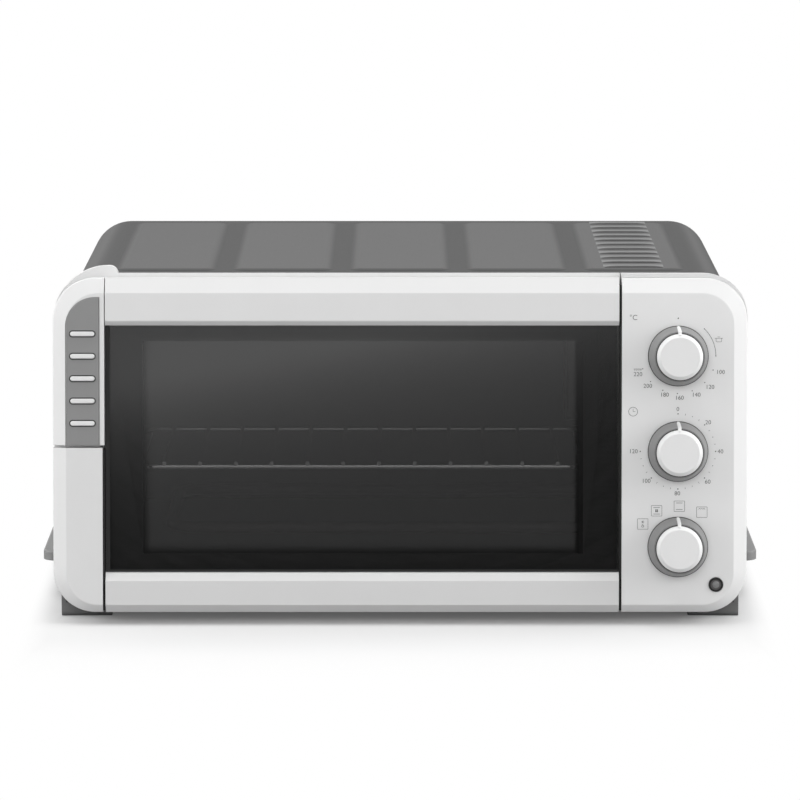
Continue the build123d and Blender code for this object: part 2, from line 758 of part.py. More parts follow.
motor_start = cavity_right + sheet + ferrule_length + bracket_sheet
with BuildPart() as fan_shaft:
    with BuildSketch(Plane.YZ.offset(fan_face)):
        with Locations(fan_centre):
            Circle(fan_shaft_radius)
    extrude(amount=motor_start + motor_length / 2 - fan_face)
save(fan_shaft, "fan_shaft")

with BuildPart() as fan_motor:
    with BuildSketch(Plane.YZ.offset(motor_start)):
        with Locations(fan_centre):
            Circle(motor_radius)
    extrude(amount=motor_length)
    with BuildSketch(Plane.YZ.offset(motor_start)):
        with Locations(fan_centre):
            Circle(fan_shaft_radius + running)
    extrude(amount=motor_length / 2, mode=Mode.SUBTRACT)
save(fan_motor, "fan_motor")

with BuildPart() as motor_bracket:
    with BuildSketch(Plane.YZ.offset(motor_start - bracket_sheet)):
        with Locations(fan_centre):
            Rectangle(2.6 * motor_radius, 2 * motor_radius)
            Circle(fan_shaft_radius + seam, mode=Mode.SUBTRACT)
    extrude(amount=bracket_sheet)
    foot_span = 1.3 * motor_radius
    with BuildSketch(Plane.YZ.offset(cavity_right + sheet)):
        for end in (-1, 1):
            with Locations((fan_centre[0] + end * (foot_span - bracket_sheet / 2), fan_centre[1])):
                Rectangle(bracket_sheet, 2 * motor_radius)
    extrude(amount=ferrule_length)
save(motor_bracket, "motor_bracket")

with BuildPart() as fan_cover:
    cover_face = fan_face - fan_gap - sheet
    with BuildSketch(Plane.YZ.offset(cover_face)):
        with Locations(fan_centre):
            RectangleRounded(fan_cover_size, fan_cover_size, fan_gap * 2)
    extrude(amount=cavity_right - cover_face)
    with BuildSketch(Plane.YZ.offset(cover_face + sheet)):
        with Locations(fan_centre):
            RectangleRounded(fan_cover_size - 2 * sheet, fan_cover_size - 2 * sheet, fan_gap * 2 - sheet)
    extrude(amount=cavity_right - cover_face, mode=Mode.SUBTRACT)
    with BuildSketch(Plane.YZ.offset(cover_face)):
        with Locations(fan_centre):
            for ring, count in ((1, 8), (2, 14), (3, 20)):
                with PolarLocations(ring * 4 * fan_cover_hole, count):
                    Circle(fan_cover_hole)
    extrude(amount=sheet, mode=Mode.SUBTRACT)
save(fan_cover, "fan_cover")

# Thermostat bulb, clipped along the cavity's right wall
with BuildPart() as thermostat_bulb:
    with BuildSketch(upright(bulb_place + bulb_length)):
        with Locations((cavity_right - bulb_radius - seam, bulb_height)):
            Circle(bulb_radius)
    extrude(amount=bulb_length)
    for place in (bulb_place + bulb_length / 4, bulb_place + 3 * bulb_length / 4):
        block((cavity_right - 2 * bulb_radius - seam - sheet, place, bulb_height - bulb_radius - sheet),
              (cavity_right, place + 2 * bulb_radius, bulb_height + bulb_radius + sheet))
save(thermostat_bulb, "thermostat_bulb")

# Control bracket with its three controls
bracket_out = -frame_depth - bracket_sheet
with BuildPart() as control_bracket:
    with BuildSketch(face(bracket_out)):
        span(bracket_left, bracket_right, bracket_end, bracket_top)
        with Locations([(knob_x, up) for up in knob_places]):
            Circle(bush_outer + seam, mode=Mode.SUBTRACT)
    extrude(amount=bracket_sheet)
save(control_bracket, "control_bracket")

control_shapes = {
    "function_switch": (knob_places[0], switch_depth),
    "timer_body": (knob_places[1], timer_depth),
    "thermostat_body": (knob_places[2], thermostat_depth),
}
for name, (up, depth) in control_shapes.items():
    with BuildPart() as control:
        with BuildSketch(face(bracket_out - depth)):
            with Locations((knob_x, up)):
                if name == "timer_body":
                    Circle(timer_radius)
                elif name == "function_switch":
                    Rectangle(switch_width, switch_height)
                else:
                    RectangleRounded(thermostat_size, thermostat_size, moulding_wall)
        extrude(amount=depth)
        with BuildSketch(face(bracket_out)):
            with Locations((knob_x, up)):
                Circle(bush_outer)
        extrude(amount=frame_depth / 2)
        with BuildSketch(face(bracket_out + frame_depth / 2)):
            with Locations((knob_x, up)):
                Circle(spindle_radius + running)
        extrude(amount=-frame_depth / 2 - spindle_in_body, mode=Mode.SUBTRACT)
    save(control, name)

# Knobs: skirt, cap and spindle, one set for each control
for name, up in zip(("function", "timer", "thermostat"), knob_places):
    knob_axis = Plane(origin=on_face(knob_x, up, skirt_gap), x_dir=(1, 0, 0), z_dir=outward)
    knob_section = Plane(origin=knob_axis.origin, x_dir=(1, 0, 0), z_dir=-knob_axis.y_dir)
    with BuildPart() as knob_skirt:
        with BuildSketch(knob_section):
            Polygon(
                (0, knob_wall), (hub_radius, knob_wall), (hub_radius, cap_seat - knob_wall),
                (skirt_radius - 2 * knob_wall, cap_seat - knob_wall), (skirt_radius - knob_wall, 0),
                (skirt_radius, 0), (skirt_radius, knob_wall), (skirt_top_radius, skirt_height),
                (cap_radius + cap_play, skirt_height), (cap_radius + cap_play, cap_seat), (0, cap_seat),
            )
        revolve(axis=Axis(knob_axis.origin, knob_axis.z_dir))
        with BuildSketch(knob_axis.offset(knob_wall)):
            Circle(spindle_radius)
        extrude(amount=spindle_in_hub - knob_wall, mode=Mode.SUBTRACT)
    save(knob_skirt, name + "_knob_skirt")
    with BuildPart() as knob_cap:
        with BuildSketch(knob_axis.offset(cap_seat)):
            Circle(cap_radius)
        extrude(amount=cap_height - cap_seat)
        chamfer(knob_cap.edges().filter_by(GeomType.CIRCLE).sort_by(Axis.Y)[0], knob_wall)
    save(knob_cap, name + "_knob_cap")
    with BuildPart() as spindle:
        with BuildSketch(knob_axis.offset(spindle_in_hub)):
            Circle(spindle_radius)
        extrude(amount=-(spindle_in_hub + skirt_gap - bracket_out + spindle_in_body))
    save(spindle, name + "_spindle")

# Indicator lamp
with BuildPart() as lamp_lens:
    with BuildSketch(face(-moulding_wall)):
        with Locations((lamp_x, lamp_up)):
            Circle(lamp_radius - insert_play)
    extrude(amount=moulding_wall + insert_proud)
    fillet(lamp_lens.edges().filter_by(GeomType.CIRCLE).sort_by(Axis.Y)[0], insert_proud)
save(lamp_lens, "lamp_lens")

with BuildPart() as lamp_body:
    with BuildSketch(face(-moulding_wall - lamp_length)):
        with Locations((lamp_x, lamp_up)):
            Circle(lamp_radius - seam)
    extrude(amount=lamp_length)
save(lamp_body, "lamp_body")

# Feet
foot_places = {
    "front_left": (-foot_outer, foot_front),
    "front_right": (foot_outer - foot_width, foot_front),
    "rear_left": (-foot_outer, body_depth - foot_front - foot_depth),
    "rear_right": (foot_outer - foot_width, body_depth - foot_front - foot_depth),
}
for name, (low_x, low_depth) in foot_places.items():
    outer_low = low_x if "left" in name else cover_half
    outer_high = -cover_half if "left" in name else foot_outer
    with BuildPart() as foot:
        block((low_x, low_depth, 0), (low_x + foot_width, low_depth + foot_depth, cover_bottom))
        block((outer_low, low_depth, 0), (outer_high, low_depth + foot_depth, cover_bottom + foot_lip))
        fillet(foot.edges().filter_by(Axis.X).group_by(Axis.Z)[0], foot_round)
        block((low_x + foot_wall, low_depth + foot_wall, foot_wall),
              (low_x + foot_width - foot_wall, low_depth + foot_depth - foot_wall, cover_bottom),
              mode=Mode.SUBTRACT)
        foot_centre = (low_x + foot_width / 2, front_y + low_depth + foot_depth / 2)
        with BuildSketch(Plane.XY.offset(foot_wall)):
            with Locations(foot_centre):
                Circle(screw_boss)
        extrude(amount=cover_bottom - foot_wall)
        with BuildSketch(Plane.XY):
            with Locations(foot_centre):
                Circle(screw_head_radius + running)
        extrude(amount=screw_recess + screw_head, mode=Mode.SUBTRACT)
        with BuildSketch(Plane.XY):
            with Locations(foot_centre):
                Circle(screw_radius + running)
        extrude(amount=cover_bottom, mode=Mode.SUBTRACT)
    save(foot, name + "_foot")

# Side carry grips
for name, hand in (("left", -1), ("right", 1)):
    with BuildPart() as grip:
        with BuildSketch(Plane.XY.offset(grip_low)) as ledge:
            low_x = min(hand * cover_half, hand * grip_out)
            high_x = max(hand * cover_half, hand * grip_out)
            span(low_x, high_x, front_y + grip_front, front_y + grip_back)
            outer_corners = ledge.vertices().sort_by(Axis.X)
            fillet(outer_corners[0:2] if hand < 0 else outer_corners[2:4], grip_corner)
        extrude(amount=grip_high - grip_low)
        grip_rim = grip.faces().filter_by(Plane.XY).sort_by(Axis.Z)[-1].edges()
        fillet(grip_rim.sort_by(lambda edge: hand * edge.center().X)[1:], edge_round)
    save(grip, name + "_grip")

# Terminal block and cable gland
with BuildPart() as terminal_block:
    block((gland_x - block_width / 2, body_depth - block_inset - block_depth, tray_z + sheet),
          (gland_x + block_width / 2, body_depth - block_inset, tray_z + sheet + block_height))
    with BuildSketch(Plane.XY.offset(tray_z + sheet + block_height)):
        with Locations((gland_x, back_y - block_inset - block_depth / 2)):
            with GridLocations(block_width / pole_count, 0, pole_count, 1):
                Circle(pole_radius)
    extrude(amount=-block_height / 2, mode=Mode.SUBTRACT)
save(terminal_block, "terminal_block")

with BuildPart() as cable_gland:
    with BuildSketch(upright(body_depth + gland_proud)):
        with Locations((gland_x, gland_height)):
            Circle(gland_radius)
    extrude(amount=gland_length)
    with BuildSketch(upright(body_depth + gland_proud / 2)):
        with Locations((gland_x, gland_height)):
            Circle(gland_flange)
    extrude(amount=gland_proud / 2)
    with BuildSketch(upright(body_depth + gland_proud)):
        with Locations((gland_x, gland_height)):
            Circle(gland_bore)
    extrude(amount=gland_length, mode=Mode.SUBTRACT)
save(cable_gland, "cable_gland")

# Screws: pan heads on the back panel and the bottom plate, and the handle's on the door
with BuildPart() as back_screws:
    with BuildSketch(upright(body_depth + screw_head)):
        with Locations(back_screw_places):
            Circle(screw_head_radius)
    extrude(amount=screw_head)
    with BuildSketch(upright(body_depth)):
        with Locations(back_screw_places):
            Circle(screw_radius)
    extrude(amount=screw_length)
save(back_screws, "back_screws")

with BuildPart() as foot_screws:
    with BuildSketch(Plane.XY.offset(screw_recess)):
        with Locations(foot_centres):
            Circle(screw_head_radius)
    extrude(amount=screw_head)
    with BuildSketch(Plane.XY.offset(screw_recess + screw_head)):
        with Locations(foot_centres):
            Circle(screw_radius)
    extrude(amount=cover_bottom + screw_length / 2 - screw_recess - screw_head)
save(foot_screws, "foot_screws")

with BuildPart() as door_screws:
    with BuildSketch(face(glass_back - sheet - screw_head)):
        with Locations(door_screw_places):
            Circle(screw_head_radius)
    extrude(amount=screw_head)
save(door_screws, "door_screws")
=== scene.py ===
import json
from math import cos, hypot, pi, radians, sin

import bmesh
import bpy
from mathutils import Matrix, Vector


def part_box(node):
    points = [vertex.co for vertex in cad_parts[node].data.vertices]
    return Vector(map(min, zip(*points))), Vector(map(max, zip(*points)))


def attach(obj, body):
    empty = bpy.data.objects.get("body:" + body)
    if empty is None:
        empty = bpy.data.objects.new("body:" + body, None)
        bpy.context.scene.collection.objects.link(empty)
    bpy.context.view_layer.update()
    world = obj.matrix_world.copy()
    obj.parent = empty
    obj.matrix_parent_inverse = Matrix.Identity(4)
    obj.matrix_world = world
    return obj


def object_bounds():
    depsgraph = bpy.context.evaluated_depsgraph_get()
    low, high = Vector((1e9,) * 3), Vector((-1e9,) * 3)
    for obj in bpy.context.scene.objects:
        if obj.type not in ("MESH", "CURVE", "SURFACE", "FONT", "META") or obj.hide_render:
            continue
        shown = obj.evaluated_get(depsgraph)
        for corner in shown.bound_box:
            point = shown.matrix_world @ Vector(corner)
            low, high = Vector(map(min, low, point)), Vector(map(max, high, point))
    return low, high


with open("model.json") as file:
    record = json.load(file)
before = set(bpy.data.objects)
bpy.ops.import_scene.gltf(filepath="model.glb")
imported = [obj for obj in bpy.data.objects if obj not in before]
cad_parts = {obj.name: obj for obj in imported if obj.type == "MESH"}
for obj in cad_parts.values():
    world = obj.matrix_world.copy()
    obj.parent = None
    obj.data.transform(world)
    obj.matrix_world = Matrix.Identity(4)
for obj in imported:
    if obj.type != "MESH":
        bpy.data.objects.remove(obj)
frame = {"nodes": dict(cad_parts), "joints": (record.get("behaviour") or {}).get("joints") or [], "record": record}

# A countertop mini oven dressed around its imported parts, in metres.
# +X is to the right seen from the front, the front faces -Y, +Z is up.

cad_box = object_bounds()
nodes = frame["nodes"]
joints = {joint["name"]: joint for joint in frame["joints"]}
MM = 0.001

# Directions and places on the leaning face, read from the knobs' joints
outward = -Vector(joints["timer_turn"]["axis"]).normalized()
face_up = Vector((0, outward.z, -outward.y))
face_right = Vector((1, 0, 0))
knob_centres = {
    name: Vector(joints[name + "_turn"]["pos_m"]) for name in ("function", "timer", "thermostat")
}
face_origin = Vector((0, knob_centres["timer"].y, knob_centres["timer"].z))


def directed(centre, right, up):
    """From local millimetres, x to the right, y up and z out of the surface, to metres."""
    out = right.cross(up)
    turn = Matrix((right, up, out)).transposed().to_4x4()
    return Matrix.Translation(centre) @ turn @ Matrix.Scale(MM, 4)


def on_face(centre):
    """Local millimetres on the oven's leaning face, from a point of that face."""
    return directed(centre, face_right, face_up)


face = on_face(face_origin)
face_inverse = face.inverted()


def face_box(node):
    """A node's lowest and highest corner in the face's millimetres, from the timer's axis."""
    points = [face_inverse @ vertex.co for vertex in nodes[node].data.vertices]
    low = Vector([min(point[i] for point in points) for i in range(3)])
    high = Vector([max(point[i] for point in points) for i in range(3)])
    return low, high


SAME_POINT = 0.01            # vertices nearer than this are one


def loose_parts(node):
    """The points of each separate solid in a node, in metres."""
    mesh = bmesh.new()
    mesh.from_mesh(nodes[node].data)
    bmesh.ops.remove_doubles(mesh, verts=mesh.verts, dist=SAME_POINT * MM)
    waiting = set(mesh.verts)
    parts = []
    while waiting:
        reached = [waiting.pop()]
        for vertex in reached:
            for edge in vertex.link_edges:
                other = edge.other_vert(vertex)
                if other in waiting:
                    waiting.remove(other)
                    reached.append(other)
        parts.append([vertex.co.copy() for vertex in reached])
    mesh.free()
    return sorted(parts, key=lambda part: tuple(min(part, key=tuple)))


# Mesh helpers: each adds one closed shape to a mesh, in local millimetres


def add_prism(mesh, outline, low, high):
    """A closed prism over an outline of (x, y) points, from z low to z high."""
    bottom = [mesh.verts.new((x, y, low)) for x, y in outline]
    top = [mesh.verts.new((x, y, high)) for x, y in outline]
    mesh.faces.new(list(reversed(bottom)))
    mesh.faces.new(top)
    count = len(outline)
    for i in range(count):
        j = (i + 1) % count
        mesh.faces.new((bottom[i], bottom[j], top[j], top[i]))


def add_box(mesh, low_x, high_x, low_y, high_y, low, high):
    """A closed box."""
    add_prism(mesh, [(low_x, low_y), (high_x, low_y), (high_x, high_y), (low_x, high_y)], low, high)


def add_ring(mesh, outer, inner, low, high):
    """A closed ring between two outlines with as many points each."""
    add_band(mesh, [[(x, y, z) for x, y in outline]
                    for outline, z in ((outer, low), (outer, high), (inner, high), (inner, low))])


def add_band(mesh, loops):
    """A closed skin through closed loops of as many points each, the last joined to the first."""
    rows = [[mesh.verts.new(point) for point in loop] for loop in loops]
    count = len(rows[0])
    for a, b in zip(rows, rows[1:] + rows[:1]):
        for i in range(count):
            j = (i + 1) % count
            mesh.faces.new((a[i], a[j], b[j], b[i]))


def add_loft(mesh, sections):
    """A closed skin through closed sections of as many points each, with flat ends."""
    rows = [[mesh.verts.new(point) for point in section] for section in sections]
    count = len(rows[0])
    for a, b in zip(rows, rows[1:]):
        for i in range(count):
            j = (i + 1) % count
            mesh.faces.new((a[i], a[j], b[j], b[i]))
    mesh.faces.new(list(reversed(rows[0])))
    mesh.faces.new(rows[-1])


def circle(radius, steps=24, centre=(0, 0)):
    """Points on a circle, anticlockwise."""
    return [
        (centre[0] + radius * cos(2 * pi * i / steps), centre[1] + radius * sin(2 * pi * i / steps))
        for i in range(steps)
    ]


def rounded_box(low_x, high_x, low_y, high_y, radius, steps=6):
    """A rectangle's outline with rounded corners, anticlockwise."""
    corners = [
        (high_x - radius, high_y - radius, 0), (low_x + radius, high_y - radius, 1),
        (low_x + radius, low_y + radius, 2), (high_x - radius, low_y + radius, 3),
    ]
    return [
        (x + radius * cos(pi / 2 * (quarter + i / steps)), y + radius * sin(pi / 2 * (quarter + i / steps)))
        for x, y, quarter in corners
        for i in range(steps + 1)
    ]


def add_round_ring(mesh, radius, half_width, half_height, height, steps=48, round_steps=8):
    """A closed ring with an oval section, round the local z axis."""
    loops = []
    for i in range(round_steps):
        angle = 2 * pi * i / round_steps
        reach = radius + half_width * cos(angle)
        level = height + half_height * sin(angle)
        loops.append([(x, y, level) for x, y in circle(reach, steps)])
    add_band(mesh, loops)


SHARP_ANGLE = 35             # edges bent more than this stay sharp on a smooth piece


def finish_piece(name, mesh, material, body, matrix, smooth=False):
    """Turn a mesh into a named piece that rides on a body."""
    bmesh.ops.recalc_face_normals(mesh, faces=mesh.faces)
    data = bpy.data.meshes.new(name)
    mesh.to_mesh(data)
    mesh.free()
    data.transform(matrix)
    data.materials.append(material)
    if smooth:
        data.shade_smooth()
        data.set_sharp_from_angle(angle=radians(SHARP_ANGLE))
    piece = bpy.data.objects.new(name, data)
    bpy.context.scene.collection.objects.link(piece)
    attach(piece, body)


# Materials


def node_material(name):
    """A new material, its node tree and its principled shader."""
    material = bpy.data.materials.new(name)
    material.use_nodes = True
    return material, material.node_tree, material.node_tree.nodes["Principled BSDF"]


def grey(value):
    """A neutral colour."""
    return (value, value, value)


def mixer(tree, kind, *sockets):
    """A maths node fed by sockets or numbers."""
    node = tree.nodes.new("ShaderNodeMath")
    node.operation = kind
    for i, value in enumerate(sockets):
        if isinstance(value, (int, float)):
            node.inputs[i].default_value = value
        else:
            tree.links.new(value, node.inputs[i])
    return node.outputs[0]


def noise(tree, place, scale, detail):
    """A noise value over a place."""
    node = tree.nodes.new("ShaderNodeTexNoise")
    node.inputs["Scale"].default_value = scale
    node.inputs["Detail"].default_value = detail
    tree.links.new(place, node.inputs["Vector"])
    return node.outputs["Fac"]


def spread(tree, value, low, high):
    """A value from 0 to 1 mapped evenly between two levels."""
    node = tree.nodes.new("ShaderNodeMapRange")
    node.inputs["To Min"].default_value = low
    node.inputs["To Max"].default_value = high
    tree.links.new(value, node.inputs["Value"])
    return node.outputs["Result"]


def ramp(tree, value, start=0, end=1):
    """A smooth step from 0 at the start to 1 at the end."""
    node = tree.nodes.new("ShaderNodeMapRange")
    node.interpolation_type = "SMOOTHSTEP"
    node.inputs["From Min"].default_value = start
    node.inputs["From Max"].default_value = end
    tree.links.new(value, node.inputs["Value"])
    return node.outputs["Result"]


def colour_mix(tree, factor, first, second):
    """A mix of two colours, each a tuple or a socket."""
    node = tree.nodes.new("ShaderNodeMix")
    node.data_type = "RGBA"
    for name, colour in (("A", first), ("B", second)):
        if isinstance(colour, tuple):
            node.inputs[name].default_value = (*colour, 1)
        else:
            tree.links.new(colour, node.inputs[name])
    tree.links.new(factor, node.inputs["Factor"])
    return node.outputs["Result"]


def object_place(tree):
    """The place on an object, which is its place in the frame at rest."""
    return tree.nodes.new("ShaderNodeTexCoord").outputs["Object"]


ROUGHNESS_CHANGE = 0.08      # the grain changes a finish's roughness by this share
MOTTLE_DETAIL = 4
GRAIN_DETAIL = 3
BEVEL_SAMPLES = 4


def surface(name, colour, roughness, mottle=0.03, mottle_size=0.02, grain_size=0.0006, grain_depth=0.00001,
            metallic=0.0, ior=1.46, edge=0.0004):
    """A solid finish: slow colour change, a fine grain in roughness and bump, and softened edges."""
    material, tree, shader = node_material(name)
    shader.inputs["Metallic"].default_value = metallic
    shader.inputs["IOR"].default_value = ior
    place = object_place(tree)
    slow = noise(tree, place, 1 / mottle_size, MOTTLE_DETAIL)
    fine = noise(tree, place, 1 / grain_size, GRAIN_DETAIL)
    darker = tuple(value * (1 - mottle) for value in colour)
    lighter = tuple(min(value * (1 + mottle), 1) for value in colour)
    tree.links.new(colour_mix(tree, slow, darker, lighter), shader.inputs["Base Color"])
    rough = spread(tree, fine, roughness * (1 - ROUGHNESS_CHANGE), roughness * (1 + ROUGHNESS_CHANGE))
    tree.links.new(rough, shader.inputs["Roughness"])
    bump = tree.nodes.new("ShaderNodeBump")
    bump.inputs["Strength"].default_value = 1.0
    bump.inputs["Distance"].default_value = grain_depth
    tree.links.new(fine, bump.inputs["Height"])
    if edge:
        soft = tree.nodes.new("ShaderNodeBevel")
        soft.samples = BEVEL_SAMPLES
        soft.inputs["Radius"].default_value = edge
        tree.links.new(soft.outputs["Normal"], bump.inputs["Normal"])
    tree.links.new(bump.outputs["Normal"], shader.inputs["Normal"])
    return material


# Door glass: black print on its back around a clear window, and a tint over both
BORDER_LEFT = 20.5
BORDER_RIGHT = 24.0
BORDER_TOP = 11.0
BORDER_BOTTOM = 13.0
WIDE_FADE = 8.0              # the print thins out over this width on the left and below
NARROW_FADE = 3.5            # and over this one on the right and above
PRINT_TONE = 0.002
# The window's paler tone is a painted reflection
WINDOW_REFLECTION_TONE = 0.056
GLASS_COVER = 0.42           # how much the tint hides of what is behind it
GLASS_IOR = 1.9
GLASS_ROUGHNESS = (0.02, 0.035)
SMEAR_SCALE = 14
SMEAR_DETAIL = 5
glass_low, glass_high = face_box("door_glass")
window_x = (glass_low.x + BORDER_LEFT, glass_high.x - BORDER_RIGHT)
window_y = (glass_low.y + BORDER_BOTTOM, glass_high.y - BORDER_TOP)


def glass_material():
    """Tinted glass: a darker print round its edges, and over the window a paler tone that is a painted reflection.
    """
    material, tree, shader = node_material("black_glass")
    shader.inputs["IOR"].default_value = GLASS_IOR
    shader.inputs["Alpha"].default_value = GLASS_COVER
    place = object_place(tree)
    smear = noise(tree, place, SMEAR_SCALE, SMEAR_DETAIL)
    tree.links.new(spread(tree, smear, *GLASS_ROUGHNESS), shader.inputs["Roughness"])
    split = tree.nodes.new("ShaderNodeSeparateXYZ")
    tree.links.new(place, split.inputs["Vector"])
    low = face @ Vector((window_x[0], window_y[0], 0))
    high = face @ Vector((window_x[1], window_y[1], 0))
    across, up = split.outputs["X"], split.outputs["Z"]
    inside = mixer(tree, "MULTIPLY", ramp(tree, across, low.x, low.x + WIDE_FADE * MM),
                   ramp(tree, across, high.x, high.x - NARROW_FADE * MM))
    inside = mixer(tree, "MULTIPLY", inside, ramp(tree, up, low.z, low.z + WIDE_FADE * MM))
    inside = mixer(tree, "MULTIPLY", inside, ramp(tree, up, high.z, high.z - NARROW_FADE * MM))
    tone = colour_mix(tree, inside, grey(PRINT_TONE), grey(WINDOW_REFLECTION_TONE))
    tree.links.new(tone, shader.inputs["Base Color"])
    return material


def paint_channel_shade(material, tone, top, floor, past):
    """Painted shade: a deeper colour where the cover's top dips between its raised panels, and none lower down its
    sides.
    """
    tree = material.node_tree
    base = tree.nodes["Principled BSDF"].inputs["Base Color"]
    plain = base.links[0].from_socket
    split = tree.nodes.new("ShaderNodeSeparateXYZ")
    tree.links.new(object_place(tree), split.inputs["Vector"])
    height = split.outputs["Z"]
    dip = mixer(tree, "MULTIPLY", ramp(tree, height, top, floor), ramp(tree, height, past, floor))
    tree.links.new(colour_mix(tree, dip, plain, grey(tone)), base)


finishes = {
    "white_plastic": surface("white_plastic", grey(0.80), 0.34, mottle=0.015),
    "panel_plastic": surface("panel_plastic", grey(0.85), 0.36, mottle=0.015),
    # A darker copy of the white plastic: painted shade on the door's lower rail
    "rail_plastic_shaded": surface("rail_plastic_shaded", grey(0.745), 0.36, mottle=0.015),
    "grey_plastic": surface("grey_plastic", grey(0.275), 0.46, mottle=0.05, grain_depth=0.00002),
    "knob_grey": surface("knob_grey", grey(0.235), 0.42, mottle=0.12, mottle_size=0.0012,
                         grain_depth=0.00003),
    "knob_light": surface("knob_light", grey(0.86), 0.33, mottle=0.015),
    "foot_plastic": surface("foot_plastic", grey(0.20), 0.5, mottle=0.06, grain_depth=0.00003),
    "grip_plastic": surface("grip_plastic", grey(0.27), 0.5, mottle=0.06, grain_depth=0.00003),
    "cover_paint": surface("cover_paint", grey(0.058), 0.55, mottle=0.12, mottle_size=0.003,
                           grain_size=0.0009, grain_depth=0.00004, ior=1.36),
    # A paler copy of the cover's paint: painted light on the louvre lips
    "lip_paint": surface("lip_paint", grey(0.13), 0.5, mottle=0.1, mottle_size=0.003, grain_depth=0.00004),
    "black_glass": glass_material(),
    "door_steel": surface("door_steel", grey(0.02), 0.45, mottle=0.05),
    "liner_enamel": surface("liner_enamel", grey(0.022), 0.42, mottle=0.15, mottle_size=0.003),
    "zinc_steel": surface("zinc_steel", (0.56, 0.57, 0.56), 0.34, metallic=1.0, mottle=0.08,
                          mottle_size=0.008),
    "rack_chrome": surface("rack_chrome", grey(0.75), 0.16, metallic=1.0, mottle=0.03, edge=0),
    "heater_sheath": surface("heater_sheath", (0.026, 0.024, 0.022), 0.55, mottle=0.2,
                             mottle_size=0.006, edge=0),
    "ceramic": surface("ceramic", (0.85, 0.83, 0.78), 0.3),
    "fan_steel": surface("fan_steel", grey(0.6), 0.3, metallic=1.0),
    "black_plastic": surface("black_plastic", grey(0.03), 0.45),
    "lens": surface("lens", (0.11, 0.105, 0.105), 0.2, ior=1.5),
}
# Some nodes differ from their slot's finish: inside the cavity all but the rack has the liner's dark finish, as
# painted shade, the side grips are paler than the feet, and the lower rail is a little darker than the rest of the
# door, as painted shade
repainted = {
    "fan_cover": "liner_enamel",
    "heater_ferrules": "liner_enamel",
    "thermostat_bulb": "liner_enamel",
    "left_grip": "grip_plastic",
    "right_grip": "grip_plastic",
    "door_bottom_rail": "rail_plastic_shaded",
}
for subpart in frame["record"]["subparts"]:
    name = subpart["node"]
    slots = nodes[name].data.materials
    slots.clear()
    slots.append(finishes[repainted.get(name, subpart["material_slot"])])

# Painted shade: a deeper colour by height in the dips between the cover's raised panels
CHANNEL_SHADE_TONE = 0.012
CHANNEL_START = 0.1          # below the panels' tops, where the painted shade begins
CHANNEL_DEPTH = 1.0          # how far the cover's top dips between its raised panels
CHANNEL_PAST = 3.0           # it ends this far below the dips
panel_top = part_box("top_cover")[1].z
paint_channel_shade(finishes["cover_paint"], CHANNEL_SHADE_TONE, panel_top - CHANNEL_START * MM,
               panel_top - CHANNEL_DEPTH * MM, panel_top - (CHANNEL_DEPTH + CHANNEL_PAST) * MM)

# Finishes of the pieces that are only here
ink = surface("panel_ink", grey(0.12), 0.5, edge=0)
frit = surface("glass_frit", grey(0.006), 0.3, edge=0)
pointer_white = surface("pointer_white", grey(0.84), 0.3, edge=0)
# Near-black painted shade: in gaps, in screw recesses, by the glass, round the lamp's lens and at the knobs' feet
shade_black = surface("shade_black", grey(0.008), 0.6, edge=0)
# Painted shadow round the handle's insert
shadow_line_grey = surface("shadow_line_grey", grey(0.30), 0.5, edge=0)
# Painted shade round the handle's ribs and where the knobs' caps leave their skirts
shade_line_dark = surface("shade_line_dark", grey(0.04), 0.5, edge=0)
# Paler than the lens: a painted highlight on the lamp's dome, besides its real gloss
dome_highlight_grey = surface("dome_highlight_grey", grey(0.22), 0.12, ior=1.5, edge=0)

# Door glass: its print, and black strips along its left and lower edges that are painted shadow
PROUD = 0.03                 # printed marks stand this far off what they lie on
INK_THICKNESS = 0.05
PRINT_INSET = 1.0
PRINT_THICKNESS = 0.15
WINDOW_RADIUS = 2.5
STRIP_WIDTH = 2.6            # of the upright strip
STRIP_HEIGHT = 1.3           # of the level strip
STRIP_THICKNESS = 0.6
STRIP_PLAY = 0.1
glass_border = bmesh.new()
add_ring(
    glass_border,
    rounded_box(glass_low.x + PRINT_INSET, glass_high.x - PRINT_INSET, glass_low.y + PRINT_INSET,
                glass_high.y - PRINT_INSET, WINDOW_RADIUS),
    rounded_box(*window_x, *window_y, WINDOW_RADIUS),
    glass_low.z - PROUD - PRINT_THICKNESS,
    glass_low.z - PROUD,
)
finish_piece("glass_border", glass_border, frit, "door", face)

top_rail_low, top_rail_high = face_box("door_top_rail")
strip_left = glass_low.x + STRIP_PLAY
strip_right = glass_high.x - STRIP_PLAY
strip_bottom = face_box("door_bottom_rail")[1].y + STRIP_PLAY
strip_top = top_rail_low.y - STRIP_PLAY
strip_levels = (glass_high.z + PROUD, glass_high.z + STRIP_THICKNESS)
glass_shadow_strips = bmesh.new()
add_box(glass_shadow_strips, strip_left, strip_left + STRIP_WIDTH, strip_bottom, strip_top, *strip_levels)
add_box(glass_shadow_strips, strip_left + STRIP_WIDTH, strip_right, strip_bottom, strip_bottom + STRIP_HEIGHT,
        *strip_levels)
finish_piece("glass_shadow_strips", glass_shadow_strips, shade_black, "door", face)

